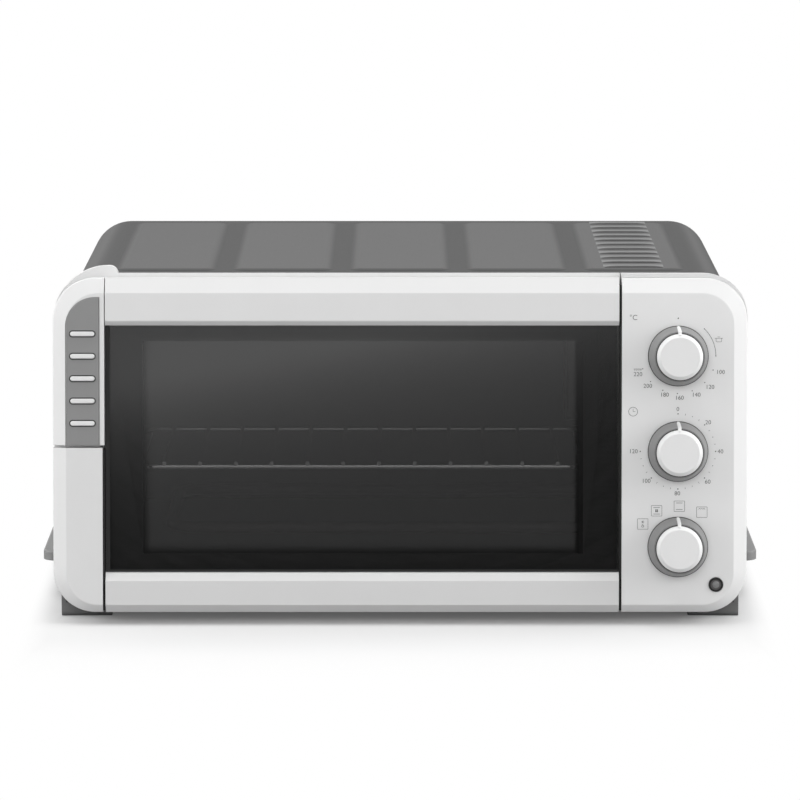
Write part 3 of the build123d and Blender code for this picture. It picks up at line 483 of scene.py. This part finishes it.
# Painted shade: dark strips at the bottom of the gaps at the door's two ends
GAP_PLAY = 0.35
GAP_INSET = 1.0              # they end this far inside the panel and the pillar
GAP_TOP_INSET = 4.0          # and this far below the upper rail's top
GAP_LEVEL = -2.5
GAP_DEPTH = 6.0
panel_low, panel_high = face_box("control_panel")
pillar_low, pillar_high = face_box("left_pillar")
gap_levels = (GAP_LEVEL - GAP_DEPTH, GAP_LEVEL)
gap_shade_strips = bmesh.new()
add_box(gap_shade_strips, top_rail_high.x + GAP_PLAY, panel_low.x - PROUD, panel_low.y + GAP_INSET,
        top_rail_high.y - GAP_TOP_INSET, *gap_levels)
add_box(gap_shade_strips, pillar_high.x + PROUD, glass_low.x - GAP_PLAY, pillar_low.y + GAP_INSET,
        pillar_high.y - GAP_INSET, *gap_levels)
finish_piece("gap_shade_strips", gap_shade_strips, shade_black, "root", face)

# Rim: the frame's pale top edge, carried on above the control panel and round its corner
RIM_HEIGHT = 2.5
RIM_PLAY = 0.25
CORNER_RADIUS = 25.0
CORNER_STEPS = 12
BEVEL_DEPTH = 4.0
corner_x = panel_high.x - CORNER_RADIUS


def corner_arc(top, first, last):
    """Points on the rounded upper right corner under a given top, between two angles in degrees."""
    arc = []
    for i in range(CORNER_STEPS + 1):
        angle = radians(first + (last - first) * i / CORNER_STEPS)
        arc.append((corner_x + CORNER_RADIUS * cos(angle), top + CORNER_RADIUS * (sin(angle) - 1)))
    return arc


rim_top = panel_high.y + RIM_HEIGHT
rim_outline = [(panel_low.x, rim_top), *corner_arc(rim_top, 90, 0), *corner_arc(panel_high.y, 0, 90),
               (panel_low.x, panel_high.y)]
panel_rim = bmesh.new()
add_prism(panel_rim, rim_outline, panel_low.z, panel_high.z - BEVEL_DEPTH - RIM_PLAY)
finish_piece("panel_rim", panel_rim, finishes["white_plastic"], "root", face, smooth=True)

# Handle: a ring of painted shade round each rib of its insert, and a painted shadow line round the insert
RIB_WIDTH = 2.7
RIB_COUNT = 5
RING_PLAY = 0.05
RING_WIDTH = 0.75
ROUNDING_PLAY = 0.01         # keeps a ring's ends just short of a half circle
INSERT_RADIUS = 17.0
SHADOW_PLAY = 0.1
SHADOW_WIDTH = 0.6
insert_low, insert_high = face_box("handle_insert")
ribs_low, ribs_high = face_box("handle_ribs")
rib_pitch = (ribs_high.y - ribs_low.y - RIB_WIDTH) / (RIB_COUNT - 1)
rib_rings = bmesh.new()
for i in range(RIB_COUNT):
    rib_low = ribs_low.y + i * rib_pitch
    loops = [
        rounded_box(ribs_low.x - grow, ribs_high.x + grow, rib_low - grow, rib_low + RIB_WIDTH + grow,
                    RIB_WIDTH / 2 + grow - ROUNDING_PLAY)
        for grow in (RING_WIDTH, RING_PLAY)
    ]
    add_ring(rib_rings, *loops, insert_high.z + PROUD, insert_high.z + PROUD + INK_THICKNESS)
finish_piece("rib_rings", rib_rings, shade_line_dark, "door", face)


def insert_outline(grow, steps=16):
    """The insert's outline, its upper left corner a quarter circle, moved outwards."""
    radius = INSERT_RADIUS + grow
    centre_x = insert_low.x + INSERT_RADIUS
    centre_y = insert_high.y - INSERT_RADIUS
    angles = [pi / 2 * (1 + i / steps) for i in range(steps + 1)]
    corner = [(centre_x + radius * cos(angle), centre_y + radius * sin(angle)) for angle in angles]
    return corner + [
        (insert_low.x - grow, insert_low.y - grow),
        (insert_high.x + grow, insert_low.y - grow),
        (insert_high.x + grow, insert_high.y + grow),
    ]


insert_line = bmesh.new()
add_ring(insert_line, insert_outline(SHADOW_WIDTH), insert_outline(SHADOW_PLAY), PROUD,
         PROUD + INK_THICKNESS)
finish_piece("insert_line", insert_line, shadow_line_grey, "door", face)

# Knobs: a white pointer down each skirt, a dark line round the cap that is painted shade where the cap leaves the
# skirt, and a dark ring at the skirt's foot that is painted shadow
SKIRT_RADIUS = 17.5
SKIRT_GAP = 0.5
SKIRT_LEVEL = 18.0
CAP_RADIUS = 13.5
POINTER_WIDTH = 2.1
POINTER_PROUD = 0.35
POINTER_BITE = 0.6           # its root goes this deep into the knob
POINTER_END = 0.75           # its width at its two ends, as a share
POINTER_CROWN = 0.55         # its crown's width, as a share
POINTER_SHOULDER = 0.4       # its shoulders' height, as a share
# The pointer's line over the knob: distance from the knob's axis and height
POINTER_LINE = [
    (17.35, 2.1), (17.0, 3.9), (15.1, 17.3), (14.6, 18.5), (13.5, 18.7), (13.45, 20.8), (12.7, 21.7),
]
# The rings: radius, half their width, half their height, and their level
CAP_LINE = (CAP_RADIUS + 0.34, 0.32, 0.2, SKIRT_LEVEL + 0.04)
BASE_RING = (SKIRT_RADIUS - 0.1, 0.5, 0.9, SKIRT_GAP + 0.9)
BASE_RING_STEPS = 72


def across_line(points, i):
    """The unit direction square to a line of points at one of them, to the left of its course."""
    before = points[max(i - 1, 0)]
    after = points[min(i + 1, len(points) - 1)]
    length = hypot(after[0] - before[0], after[1] - before[1])
    return (before[1] - after[1]) / length, (after[0] - before[0]) / length


def add_pointer(mesh):
    """A low rib with a crowned back along the pointer's line."""
    sections = []
    for i, (radius, height) in enumerate(POINTER_LINE):
        left = across_line(POINTER_LINE, i)
        away = Vector((0, -left[0], -left[1]))
        middle = Vector((0, radius, height))
        half = POINTER_WIDTH / 2 * (POINTER_END if i in (0, len(POINTER_LINE) - 1) else 1)
        crown = middle + away * POINTER_PROUD
        shoulder = middle + away * POINTER_PROUD * POINTER_SHOULDER
        root = middle - away * POINTER_BITE
        side = Vector((half, 0, 0))
        inner = Vector((half * POINTER_CROWN, 0, 0))
        sections.append([
            root - side, shoulder - side, crown - inner, crown + inner, shoulder + side, root + side,
        ])
    add_loft(mesh, sections)


for name, centre in knob_centres.items():
    body = name + "_knob"
    place = on_face(centre)
    pointer = bmesh.new()
    add_pointer(pointer)
    finish_piece(name + "_pointer", pointer, pointer_white, body, place, smooth=True)
    cap_line = bmesh.new()
    add_round_ring(cap_line, *CAP_LINE)
    finish_piece(name + "_cap_line", cap_line, shade_line_dark, body, place, smooth=True)
    base_ring = bmesh.new()
    add_round_ring(base_ring, *BASE_RING, steps=BASE_RING_STEPS)
    finish_piece(name + "_base_ring", base_ring, shade_black, body, place, smooth=True)

# Printed dials, each round its knob's axis
INK_LINE = 0.26
FINE_LINE = 0.2
TICK_RADIUS = 22.2
OFF_DOT_RADIUS = 0.42
ZERO_DOT_RADIUS = 0.38
DOT_RADIUS = 0.34
SMALL_DOT_RADIUS = 0.25
FIGURE_SIZE = 3.5
FIGURE_CURVE = 3             # steps in a figure's curves
FIGURE_THINNING = 0.004
FIGURE_WELD = 0.0005
UNIT_SIZE = 4.4
ICON_SIZE = 6.4


def add_line(mesh, points, width=INK_LINE):
    """A printed line of even width along open (x, y) points."""
    left, right = [], []
    for i, (x, y) in enumerate(points):
        side_x, side_y = across_line(points, i)
        side_x *= width / 2
        side_y *= width / 2
        left.append((x + side_x, y + side_y))
        right.append((x - side_x, y - side_y))
    add_prism(mesh, right + list(reversed(left)), PROUD, PROUD + INK_THICKNESS)


def add_dot(mesh, x, y, radius=DOT_RADIUS, steps=12):
    """A printed dot."""
    add_prism(mesh, circle(radius, steps, (x, y)), PROUD, PROUD + INK_THICKNESS)


def add_outline(mesh, outer, inner):
    """A printed closed line between two outlines."""
    add_ring(mesh, outer, inner, PROUD, PROUD + INK_THICKNESS)


def add_words(mesh, words, x, y, size=FIGURE_SIZE):
    """Printed figures, centred on a point."""
    curve = bpy.data.curves.new("figures", "FONT")
    curve.body = words
    curve.size = size
    curve.align_x = "CENTER"
    curve.align_y = "CENTER"
    curve.resolution_u = FIGURE_CURVE
    curve.offset = -FIGURE_THINNING * size
    curve.extrude = INK_THICKNESS / 2
    holder = bpy.data.objects.new("figures", curve)
    flat = bpy.data.meshes.new_from_object(holder)
    flat.transform(Matrix.Translation((x, y, PROUD + INK_THICKNESS / 2)))
    mesh.from_mesh(flat)
    bpy.data.objects.remove(holder)
    bpy.data.curves.remove(curve)
    bpy.data.meshes.remove(flat)
    bmesh.ops.remove_doubles(mesh, verts=mesh.verts, dist=FIGURE_WELD)


def clockwise(radius, degrees):
    """The point at an angle clockwise from the top of a dial."""
    return radius * sin(radians(degrees)), radius * cos(radians(degrees))


THERMOSTAT_FIRST = 100       # degrees, at the first of its figures
THERMOSTAT_STEP = 20
THERMOSTAT_FIGURES = [
    (25.0, -9.6), (18.8, -18.4), (10.7, -23.0), (0.8, -24.8), (-8.0, -23.0), (-17.9, -17.8), (-23.7, -10.9),
]
THERMOSTAT_DOTS = (112, 23)  # angle of the first figure's dot, and between dots
LOW_RANGE = (44, 46)         # where the slow cooking range begins, and its angle
LOW_RANGE_STEPS = 16
UNIT_PLACE = (-26.4, 22.5)
POT_PLACE = (23.9, 9.5)
GRILL_PLACE = (-23.8, -8.2)
GRILL_TEETH = 4


def thermostat_marks(mesh):
    """Degrees from 100 to 220, a slow cooking range with its pot, a grill, and the off dot."""
    add_dot(mesh, *clockwise(TICK_RADIUS, 0), OFF_DOT_RADIUS)
    start, turn = LOW_RANGE
    low_range = [
        clockwise(TICK_RADIUS, start + turn * i / LOW_RANGE_STEPS) for i in range(LOW_RANGE_STEPS + 1)
    ]
    add_line(mesh, low_range)
    add_dot(mesh, *low_range[0])
    add_dot(mesh, *low_range[-1])
    first, apart = THERMOSTAT_DOTS
    for i in range(len(THERMOSTAT_FIGURES)):
        add_dot(mesh, *clockwise(TICK_RADIUS, first + apart * i))
    for i, place in enumerate(THERMOSTAT_FIGURES):
        add_words(mesh, str(THERMOSTAT_FIRST + THERMOSTAT_STEP * i), *place)
    add_words(mesh, "°C", *UNIT_PLACE, UNIT_SIZE)
    x, y = POT_PLACE
    add_outline(mesh, rounded_box(x - 1.7, x + 1.7, y - 1.3, y + 1.0, 0.5),
                rounded_box(x - 1.5, x + 1.5, y - 1.1, y + 0.8, 0.3))
    add_line(mesh, [(x - 2.4, y + 0.9), (x + 2.4, y + 0.9)], FINE_LINE)
    add_line(mesh, [(x - 0.7, y + 1.7), (x + 0.7, y + 1.7)], FINE_LINE)
    x, y = GRILL_PLACE
    add_line(mesh, [(x - 2.4, y + 0.5), (x + 2.4, y + 0.5)], FINE_LINE)
    for i in range(GRILL_TEETH):
        tooth = x - 1.8 + 1.2 * i
        add_line(mesh, [(tooth - 0.35, y + 0.3), (tooth, y - 0.5), (tooth + 0.35, y + 0.3)], FINE_LINE)


TIMER_STEP = 20              # minutes between figures
TIMER_FIGURES = [
    (-0.1, 24.9), (17.8, 17.1), (25.1, -0.1), (17.6, -18.0), (-0.3, -24.9), (-18.7, -17.5), (-26.3, 0),
]
TIMER_TICKS = 25
TIMER_TICK_ANGLE = 11.25
TIMER_TICK_HALF = 0.5
CLOCK_PLACE = (-26.5, 23.5)
CLOCK_STEPS = 32


def timer_marks(mesh):
    """Minutes from 0 to 120 over three quarters of a turn, and a clock."""
    for i in range(TIMER_TICKS):
        angle = TIMER_TICK_ANGLE * i
        if i % 4 == 0:
            add_dot(mesh, *clockwise(TICK_RADIUS, angle), ZERO_DOT_RADIUS)
        elif i % 2 == 0:
            add_dot(mesh, *clockwise(TICK_RADIUS, angle), SMALL_DOT_RADIUS)
        else:
            ends = (TICK_RADIUS - TIMER_TICK_HALF, TICK_RADIUS + TIMER_TICK_HALF)
            add_line(mesh, [clockwise(end, angle) for end in ends], FINE_LINE)
    for i, place in enumerate(TIMER_FIGURES):
        add_words(mesh, str(TIMER_STEP * i), *place)
    x, y = CLOCK_PLACE
    add_outline(mesh, circle(2.75, CLOCK_STEPS, CLOCK_PLACE), circle(2.5, CLOCK_STEPS, CLOCK_PLACE))
    add_line(mesh, [(x, y + 1.7), (x, y)], FINE_LINE)
    add_line(mesh, [(x - 0.1, y), (x + 1.3, y)], FINE_LINE)


FUNCTION_PICTURES = {"thaw": (-20.7, 13.5), "fan": (-12.5, 21.3), "both": (0.9, 24.0), "grill": (14.2, 20.5)}
PICTURE_CORNER = 0.3
HEATER_SHARE = 0.3           # how far the heaters' lines are from a picture's middle
BLADE_REACH = 0.62
BLADE_RADIUS = 0.42
ZIGZAG_STEPS = 6
FLAKE_REACH = 0.9
FLAKE_RISE = 1.2
DROP_FALL = 1.3


def function_marks(mesh):
    """Four square pictures: thawing, fan with both heaters, both heaters, and grill."""
    half = ICON_SIZE / 2
    inner = half - FINE_LINE
    bar = HEATER_SHARE * ICON_SIZE
    for x, y in FUNCTION_PICTURES.values():
        add_outline(mesh, rounded_box(x - half, x + half, y - half, y + half, PICTURE_CORNER, 2),
                    rounded_box(x - inner, x + inner, y - inner, y + inner, PICTURE_CORNER / 2, 2))
    for name in ("fan", "both"):
        x, y = FUNCTION_PICTURES[name]
        for level in (-bar, bar):
            add_line(mesh, [(x - bar, y + level), (x + bar, y + level)])
    x, y = FUNCTION_PICTURES["fan"]
    for quarter in range(4):
        angle = quarter * pi / 2 + pi / 4
        add_dot(mesh, x + BLADE_REACH * cos(angle), y + BLADE_REACH * sin(angle), BLADE_RADIUS, steps=10)
    x, y = FUNCTION_PICTURES["grill"]
    zigzag = [
        (x - bar + 2 * bar * i / ZIGZAG_STEPS, y + bar + (0.45 if i % 2 else -0.25))
        for i in range(ZIGZAG_STEPS + 1)
    ]
    add_line(mesh, zigzag)
    x, y = FUNCTION_PICTURES["thaw"]
    flake = y + FLAKE_RISE
    for third in range(3):
        arm_x = FLAKE_REACH * cos(pi * third / 3)
        arm_y = FLAKE_REACH * sin(pi * third / 3)
        add_line(mesh, [(x - arm_x, flake - arm_y), (x + arm_x, flake + arm_y)], FINE_LINE)
    drop = (x, y - DROP_FALL)
    add_outline(mesh, circle(0.75, 16, drop), circle(0.52, 16, drop))
    add_line(mesh, [(x - 0.45, y - 0.8), (x, y - 0.15), (x + 0.45, y - 0.8)], FINE_LINE)


for name, draw in (("thermostat", thermostat_marks), ("timer", timer_marks), ("function", function_marks)):
    marks = bmesh.new()
    draw(marks)
    finish_piece(name + "_marks", marks, ink, "root", on_face(knob_centres[name]))

# Indicator lamp: a dark rim round the lens that is painted shade, and a glass dome in it whose paler grey is a
# painted highlight besides its real gloss
LAMP_RIM = 0.6
LAMP_RIM_HEIGHT = 0.45
LAMP_RIM_LIFT = 0.1
DOME_SHARE = 0.5             # of the lens's radius
DOME_RISE = 0.55
DOME_BITE = 0.3
DOME_STEPS = 6
DOME_SIDES = 24
lens_low, lens_high = face_box("lamp_lens")
lens_middle = (lens_low + lens_high) / 2
lens_radius = (lens_high.x - lens_low.x) / 2
lamp_place = on_face(face @ Vector((lens_middle.x, lens_middle.y, 0)))
lamp_rim = bmesh.new()
add_round_ring(lamp_rim, lens_radius - LAMP_RIM, LAMP_RIM, LAMP_RIM_HEIGHT, lens_high.z + LAMP_RIM_LIFT)
finish_piece("lamp_rim", lamp_rim, shade_black, "root", lamp_place, smooth=True)
dome_radius = DOME_SHARE * lens_radius
dome_line = [(dome_radius, lens_high.z - DOME_BITE)]
for i in range(DOME_STEPS):
    angle = pi / 2 * i / DOME_STEPS
    dome_line.append((dome_radius * cos(angle), lens_high.z + DOME_RISE * sin(angle)))
lamp_dome = bmesh.new()
add_loft(lamp_dome, [[(x, y, level) for x, y in circle(reach, DOME_SIDES)] for reach, level in dome_line])
finish_piece("lamp_dome", lamp_dome, dome_highlight_grey, "root", lamp_place, smooth=True)

# Cover: a raised lip behind each louvre, in a paler copy of the cover's paint that is painted light
LOUVRE_COUNT = 11
LOUVRE_X = 140.0
LOUVRE_LENGTH = 35.0
LOUVRE_WIDTH = 2.4
LOUVRE_PITCH = 22.3
LOUVRE_FIRST = 70.0          # behind the frame's lower front edge
LIP_REACH = 13.0
LIP_RISE = 1.0
LIP_BITE = 0.3               # it goes this deep into the cover
LIP_OVERHANG = 0.5
LIP_SPREAD = 0.5             # it is this much longer than its louvre at each end
LIP_ROUNDING = 5             # the higher, the more suddenly its ends come down
LIP_LEAST = 0.06             # its rise at its ends, as a share
LIP_STEPS = 14
# A lip's section: how far back, and its height as a share of its rise
LIP_SECTION = [
    (0, 0.62), (0.4, 0.92), (1.6, 1), (0.35 * LIP_REACH, 0.85), (0.7 * LIP_REACH, 0.35), (LIP_REACH, 0),
]
upright = directed(Vector((0, 0, 0)), Vector((1, 0, 0)), Vector((0, 1, 0)))
cover_top = panel_top / MM
front_edge = (face @ Vector((0, face_box("front_frame")[0].y, 0))).y / MM


def add_lip(mesh, x, y, base):
    """A low hood with its open edge towards the front and its ends rounded down."""
    sections = []
    for i in range(LIP_STEPS + 1):
        along = -1 + 2 * i / LIP_STEPS
        rise = LIP_RISE * max(1 - abs(along) ** LIP_ROUNDING, LIP_LEAST)
        side = x + along * (LOUVRE_LENGTH / 2 + LIP_SPREAD)
        profile = [(back, share * rise) for back, share in LIP_SECTION]
        profile = [(0, -LIP_BITE), *profile, (LIP_REACH, -LIP_BITE)]
        sections.append([(side, y + back, base + up) for back, up in profile])
    add_loft(mesh, sections)


louvre_lips = bmesh.new()
for i in range(LOUVRE_COUNT):
    slot_back = front_edge + LOUVRE_FIRST + i * LOUVRE_PITCH + LOUVRE_WIDTH / 2
    add_lip(louvre_lips, LOUVRE_X, slot_back - LIP_OVERHANG, cover_top)
finish_piece("louvre_lips", louvre_lips, finishes["lip_paint"], "root", upright, smooth=True)

# Screws: a dark cross in each head, painted shade of its cross recess
RECESS_LENGTH = 3.4
RECESS_WIDTH = 0.75
RECESS_TOP = 0.1
HEAD_DEPTH = 1.0             # the points this close to a screw's end belong to its head


def middle_of(values):
    """Half way between the least and the most of some values."""
    return (min(values) + max(values)) / 2


def add_recess_shade(node, body, right, up):
    """A dark cross, painted shade of a cross recess, on the outer face of each screw of a node."""
    crosses = bmesh.new()
    origin = directed(Vector((0, 0, 0)), right, up)
    back_again = origin.inverted()
    long, short = RECESS_LENGTH / 2, RECESS_WIDTH / 2
    cross = [
        (short, short), (short, long), (-short, long), (-short, short), (-long, short), (-long, -short),
        (-short, -short), (-short, -long), (short, -long), (short, -short), (long, -short), (long, short),
    ]
    for points in loose_parts(node):
        local = [back_again @ point for point in points]
        level = max(point.z for point in local)
        head = [point for point in local if point.z > level - HEAD_DEPTH]
        x = middle_of([point.x for point in head])
        y = middle_of([point.y for point in head])
        outline = [(x + side, y + rise) for side, rise in cross]
        add_prism(crosses, outline, level + PROUD, level + RECESS_TOP)
    finish_piece(node + "_recesses", crosses, shade_black, body, origin)


add_recess_shade("back_screws", "root", Vector((-1, 0, 0)), Vector((0, 0, 1)))
add_recess_shade("door_screws", "door", -face_right, face_up)

# Floor: white for the camera away from the oven, with the oven's soft shadow close to it
FLOOR_SIZE = 12.0
FLOOR_COLOUR = 0.80
FLOOR_BOUNCE = 0.40          # its colour for the light that it throws back at the oven
FLOOR_GLOW = 0.09
SHADOW_INSET = 0.015         # the shadow begins to fade this far inside the oven's sides
SHADOW_SIDE = 0.02           # and fades to white over this width, sideways
SHADOW_FRONT = 0.135         # and over this one in front and behind


def blend_shaders(tree, factor, first, second):
    """A mix of two shaders."""
    node = tree.nodes.new("ShaderNodeMixShader")
    tree.links.new(factor, node.inputs[0])
    tree.links.new(first, node.inputs[1])
    tree.links.new(second, node.inputs[2])
    return node.outputs[0]


def shader_node(tree, kind, socket, value):
    """A simple shader with one socket set."""
    node = tree.nodes.new(kind)
    node.inputs[socket].default_value = value
    return node.outputs[0]


def diffuse(tree, tone):
    """A plain grey matt shader."""
    return shader_node(tree, "ShaderNodeBsdfDiffuse", "Color", (*grey(tone), 1))


def glow(tree, strength):
    """A plain white glow."""
    return shader_node(tree, "ShaderNodeEmission", "Strength", strength)


def backdrop(tree, strength):
    """A plain white background."""
    return shader_node(tree, "ShaderNodeBackground", "Strength", strength)


def beyond(tree, value, middle, half, width):
    """How far a value is past a half width from the middle, as a share of another width."""
    away = mixer(tree, "ABSOLUTE", mixer(tree, "SUBTRACT", value, middle))
    return mixer(tree, "DIVIDE", mixer(tree, "SUBTRACT", away, half), width)


def cleared(tree):
    """Empty a node tree, and add a node that separates a vector and the light path's outputs."""
    tree.nodes.clear()
    split = tree.nodes.new("ShaderNodeSeparateXYZ")
    return split, tree.nodes.new("ShaderNodeLightPath").outputs


floor_mesh = bmesh.new()
bmesh.ops.create_grid(floor_mesh, x_segments=1, y_segments=1, size=FLOOR_SIZE / 2)
floor_data = bpy.data.meshes.new("floor")
floor_mesh.to_mesh(floor_data)
floor_mesh.free()
floor = bpy.data.objects.new("floor", floor_data)
bpy.context.scene.collection.objects.link(floor)
floor_paint = bpy.data.materials.new("floor")
floor_paint.use_nodes = True
tree = floor_paint.node_tree
split, path = cleared(tree)
tree.links.new(object_place(tree), split.inputs[0])
box_low, box_high = cad_box
middle_y = (box_low.y + box_high.y) / 2
sideways = beyond(tree, split.outputs["X"], 0.0, box_high.x - SHADOW_INSET, SHADOW_SIDE)
lengthways = beyond(tree, split.outputs["Y"], middle_y, box_high.y - middle_y, SHADOW_FRONT)
fade = ramp(tree, mixer(tree, "MAXIMUM", sideways, lengthways))
lit = tree.nodes.new("ShaderNodeAddShader")
tree.links.new(diffuse(tree, FLOOR_COLOUR), lit.inputs[0])
tree.links.new(glow(tree, FLOOR_GLOW), lit.inputs[1])
seen = blend_shaders(tree, fade, lit.outputs[0], glow(tree, 1.0))
floor_output = tree.nodes.new("ShaderNodeOutputMaterial")
floor_shown = blend_shaders(tree, path["Is Camera Ray"], diffuse(tree, FLOOR_BOUNCE), seen)
tree.links.new(floor_shown, floor_output.inputs["Surface"])
floor_data.materials.append(floor_paint)

# Studio: white behind, an even low light from all round, and for reflections a dark band low down
AMBIENT = 0.26
GLOW_LEVEL = 0.0675          # sine of the elevation where 1 is added to the dark band's brightness
GLOW_RISE = 0.0115           # what is added grows by a factor of e over this much of that sine
GLOW_TILT = 0.19             # that level rises towards the right
GLOW_LOW = 0.05              # the dark band's brightness
GLOW_MORE = 1.35             # the most that is added to it
world = bpy.data.worlds.new("studio")
bpy.context.scene.world = world
world.use_nodes = True
tree = world.node_tree
split, path = cleared(tree)
tree.links.new(tree.nodes.new("ShaderNodeTexCoord").outputs["Generated"], split.inputs[0])
level = mixer(tree, "ADD", mixer(tree, "MULTIPLY", split.outputs["X"], GLOW_TILT), GLOW_LEVEL)
above = mixer(tree, "DIVIDE", mixer(tree, "SUBTRACT", split.outputs["Z"], level), GLOW_RISE)
bright = mixer(tree, "MINIMUM", mixer(tree, "EXPONENT", above), GLOW_MORE)
reflected = tree.nodes.new("ShaderNodeBackground")
tree.links.new(mixer(tree, "ADD", bright, GLOW_LOW), reflected.inputs["Strength"])
clear = mixer(tree, "MAXIMUM", path["Is Camera Ray"], path["Is Transmission Ray"])
shown = blend_shaders(tree, path["Is Glossy Ray"], backdrop(tree, AMBIENT), reflected.outputs[0])
world_output = tree.nodes.new("ShaderNodeOutputWorld")
tree.links.new(blend_shaders(tree, clear, shown, backdrop(tree, 1.0)), world_output.inputs["Surface"])

# Lamps: name, place, target, width and height in metres, and power in watts
LAMPS = [
    ("top_softbox", (0, -0.1, 1.7), (0, 0, 0), 2.2, 1.8, 19.5),
    ("right_softbox", (1.5, -0.35, 0.5), (0, 0, 0.1), 1.2, 1.2, 17),
    ("left_softbox", (-1.5, -0.35, 0.5), (0, 0, 0.1), 1.2, 1.2, 14),
    ("front_fill", (0, -3.2, 1.2), (0, 0, 0.1), 2.0, 1.2, 27.5),
]


def add_light(name, place, target, width, height, power):
    """A soft rectangular lamp that points at a target."""
    data = bpy.data.lights.new(name, "AREA")
    data.shape = "RECTANGLE"
    data.size = width
    data.size_y = height
    data.energy = power
    lamp = bpy.data.objects.new(name, data)
    lamp.location = place
    lamp.rotation_euler = (Vector(target) - Vector(place)).to_track_quat("-Z", "Y").to_euler()
    bpy.context.scene.collection.objects.link(lamp)
    return lamp


lamps = [add_light(*row) for row in LAMPS]
lamps[-1].visible_glossy = False        # the fill in front leaves no mirror image in the glass

CAMERA_PLACE = (0, -3.0031, 0.5707)
CAMERA_PITCH = 8.690         # degrees below the horizon
CAMERA_LENS = 221.0
SENSOR_WIDTH = 36
CAMERA_CLIP = 0.1
camera_data = bpy.data.cameras.new("camera")
camera_data.lens = CAMERA_LENS
camera_data.sensor_width = SENSOR_WIDTH
camera_data.clip_start = CAMERA_CLIP
camera = bpy.data.objects.new("camera", camera_data)
camera.location = CAMERA_PLACE
camera.rotation_euler = (radians(90 - CAMERA_PITCH), 0, 0)
bpy.context.scene.collection.objects.link(camera)
bpy.context.scene.camera = camera
bpy.context.scene.view_settings.view_transform = "Standard"
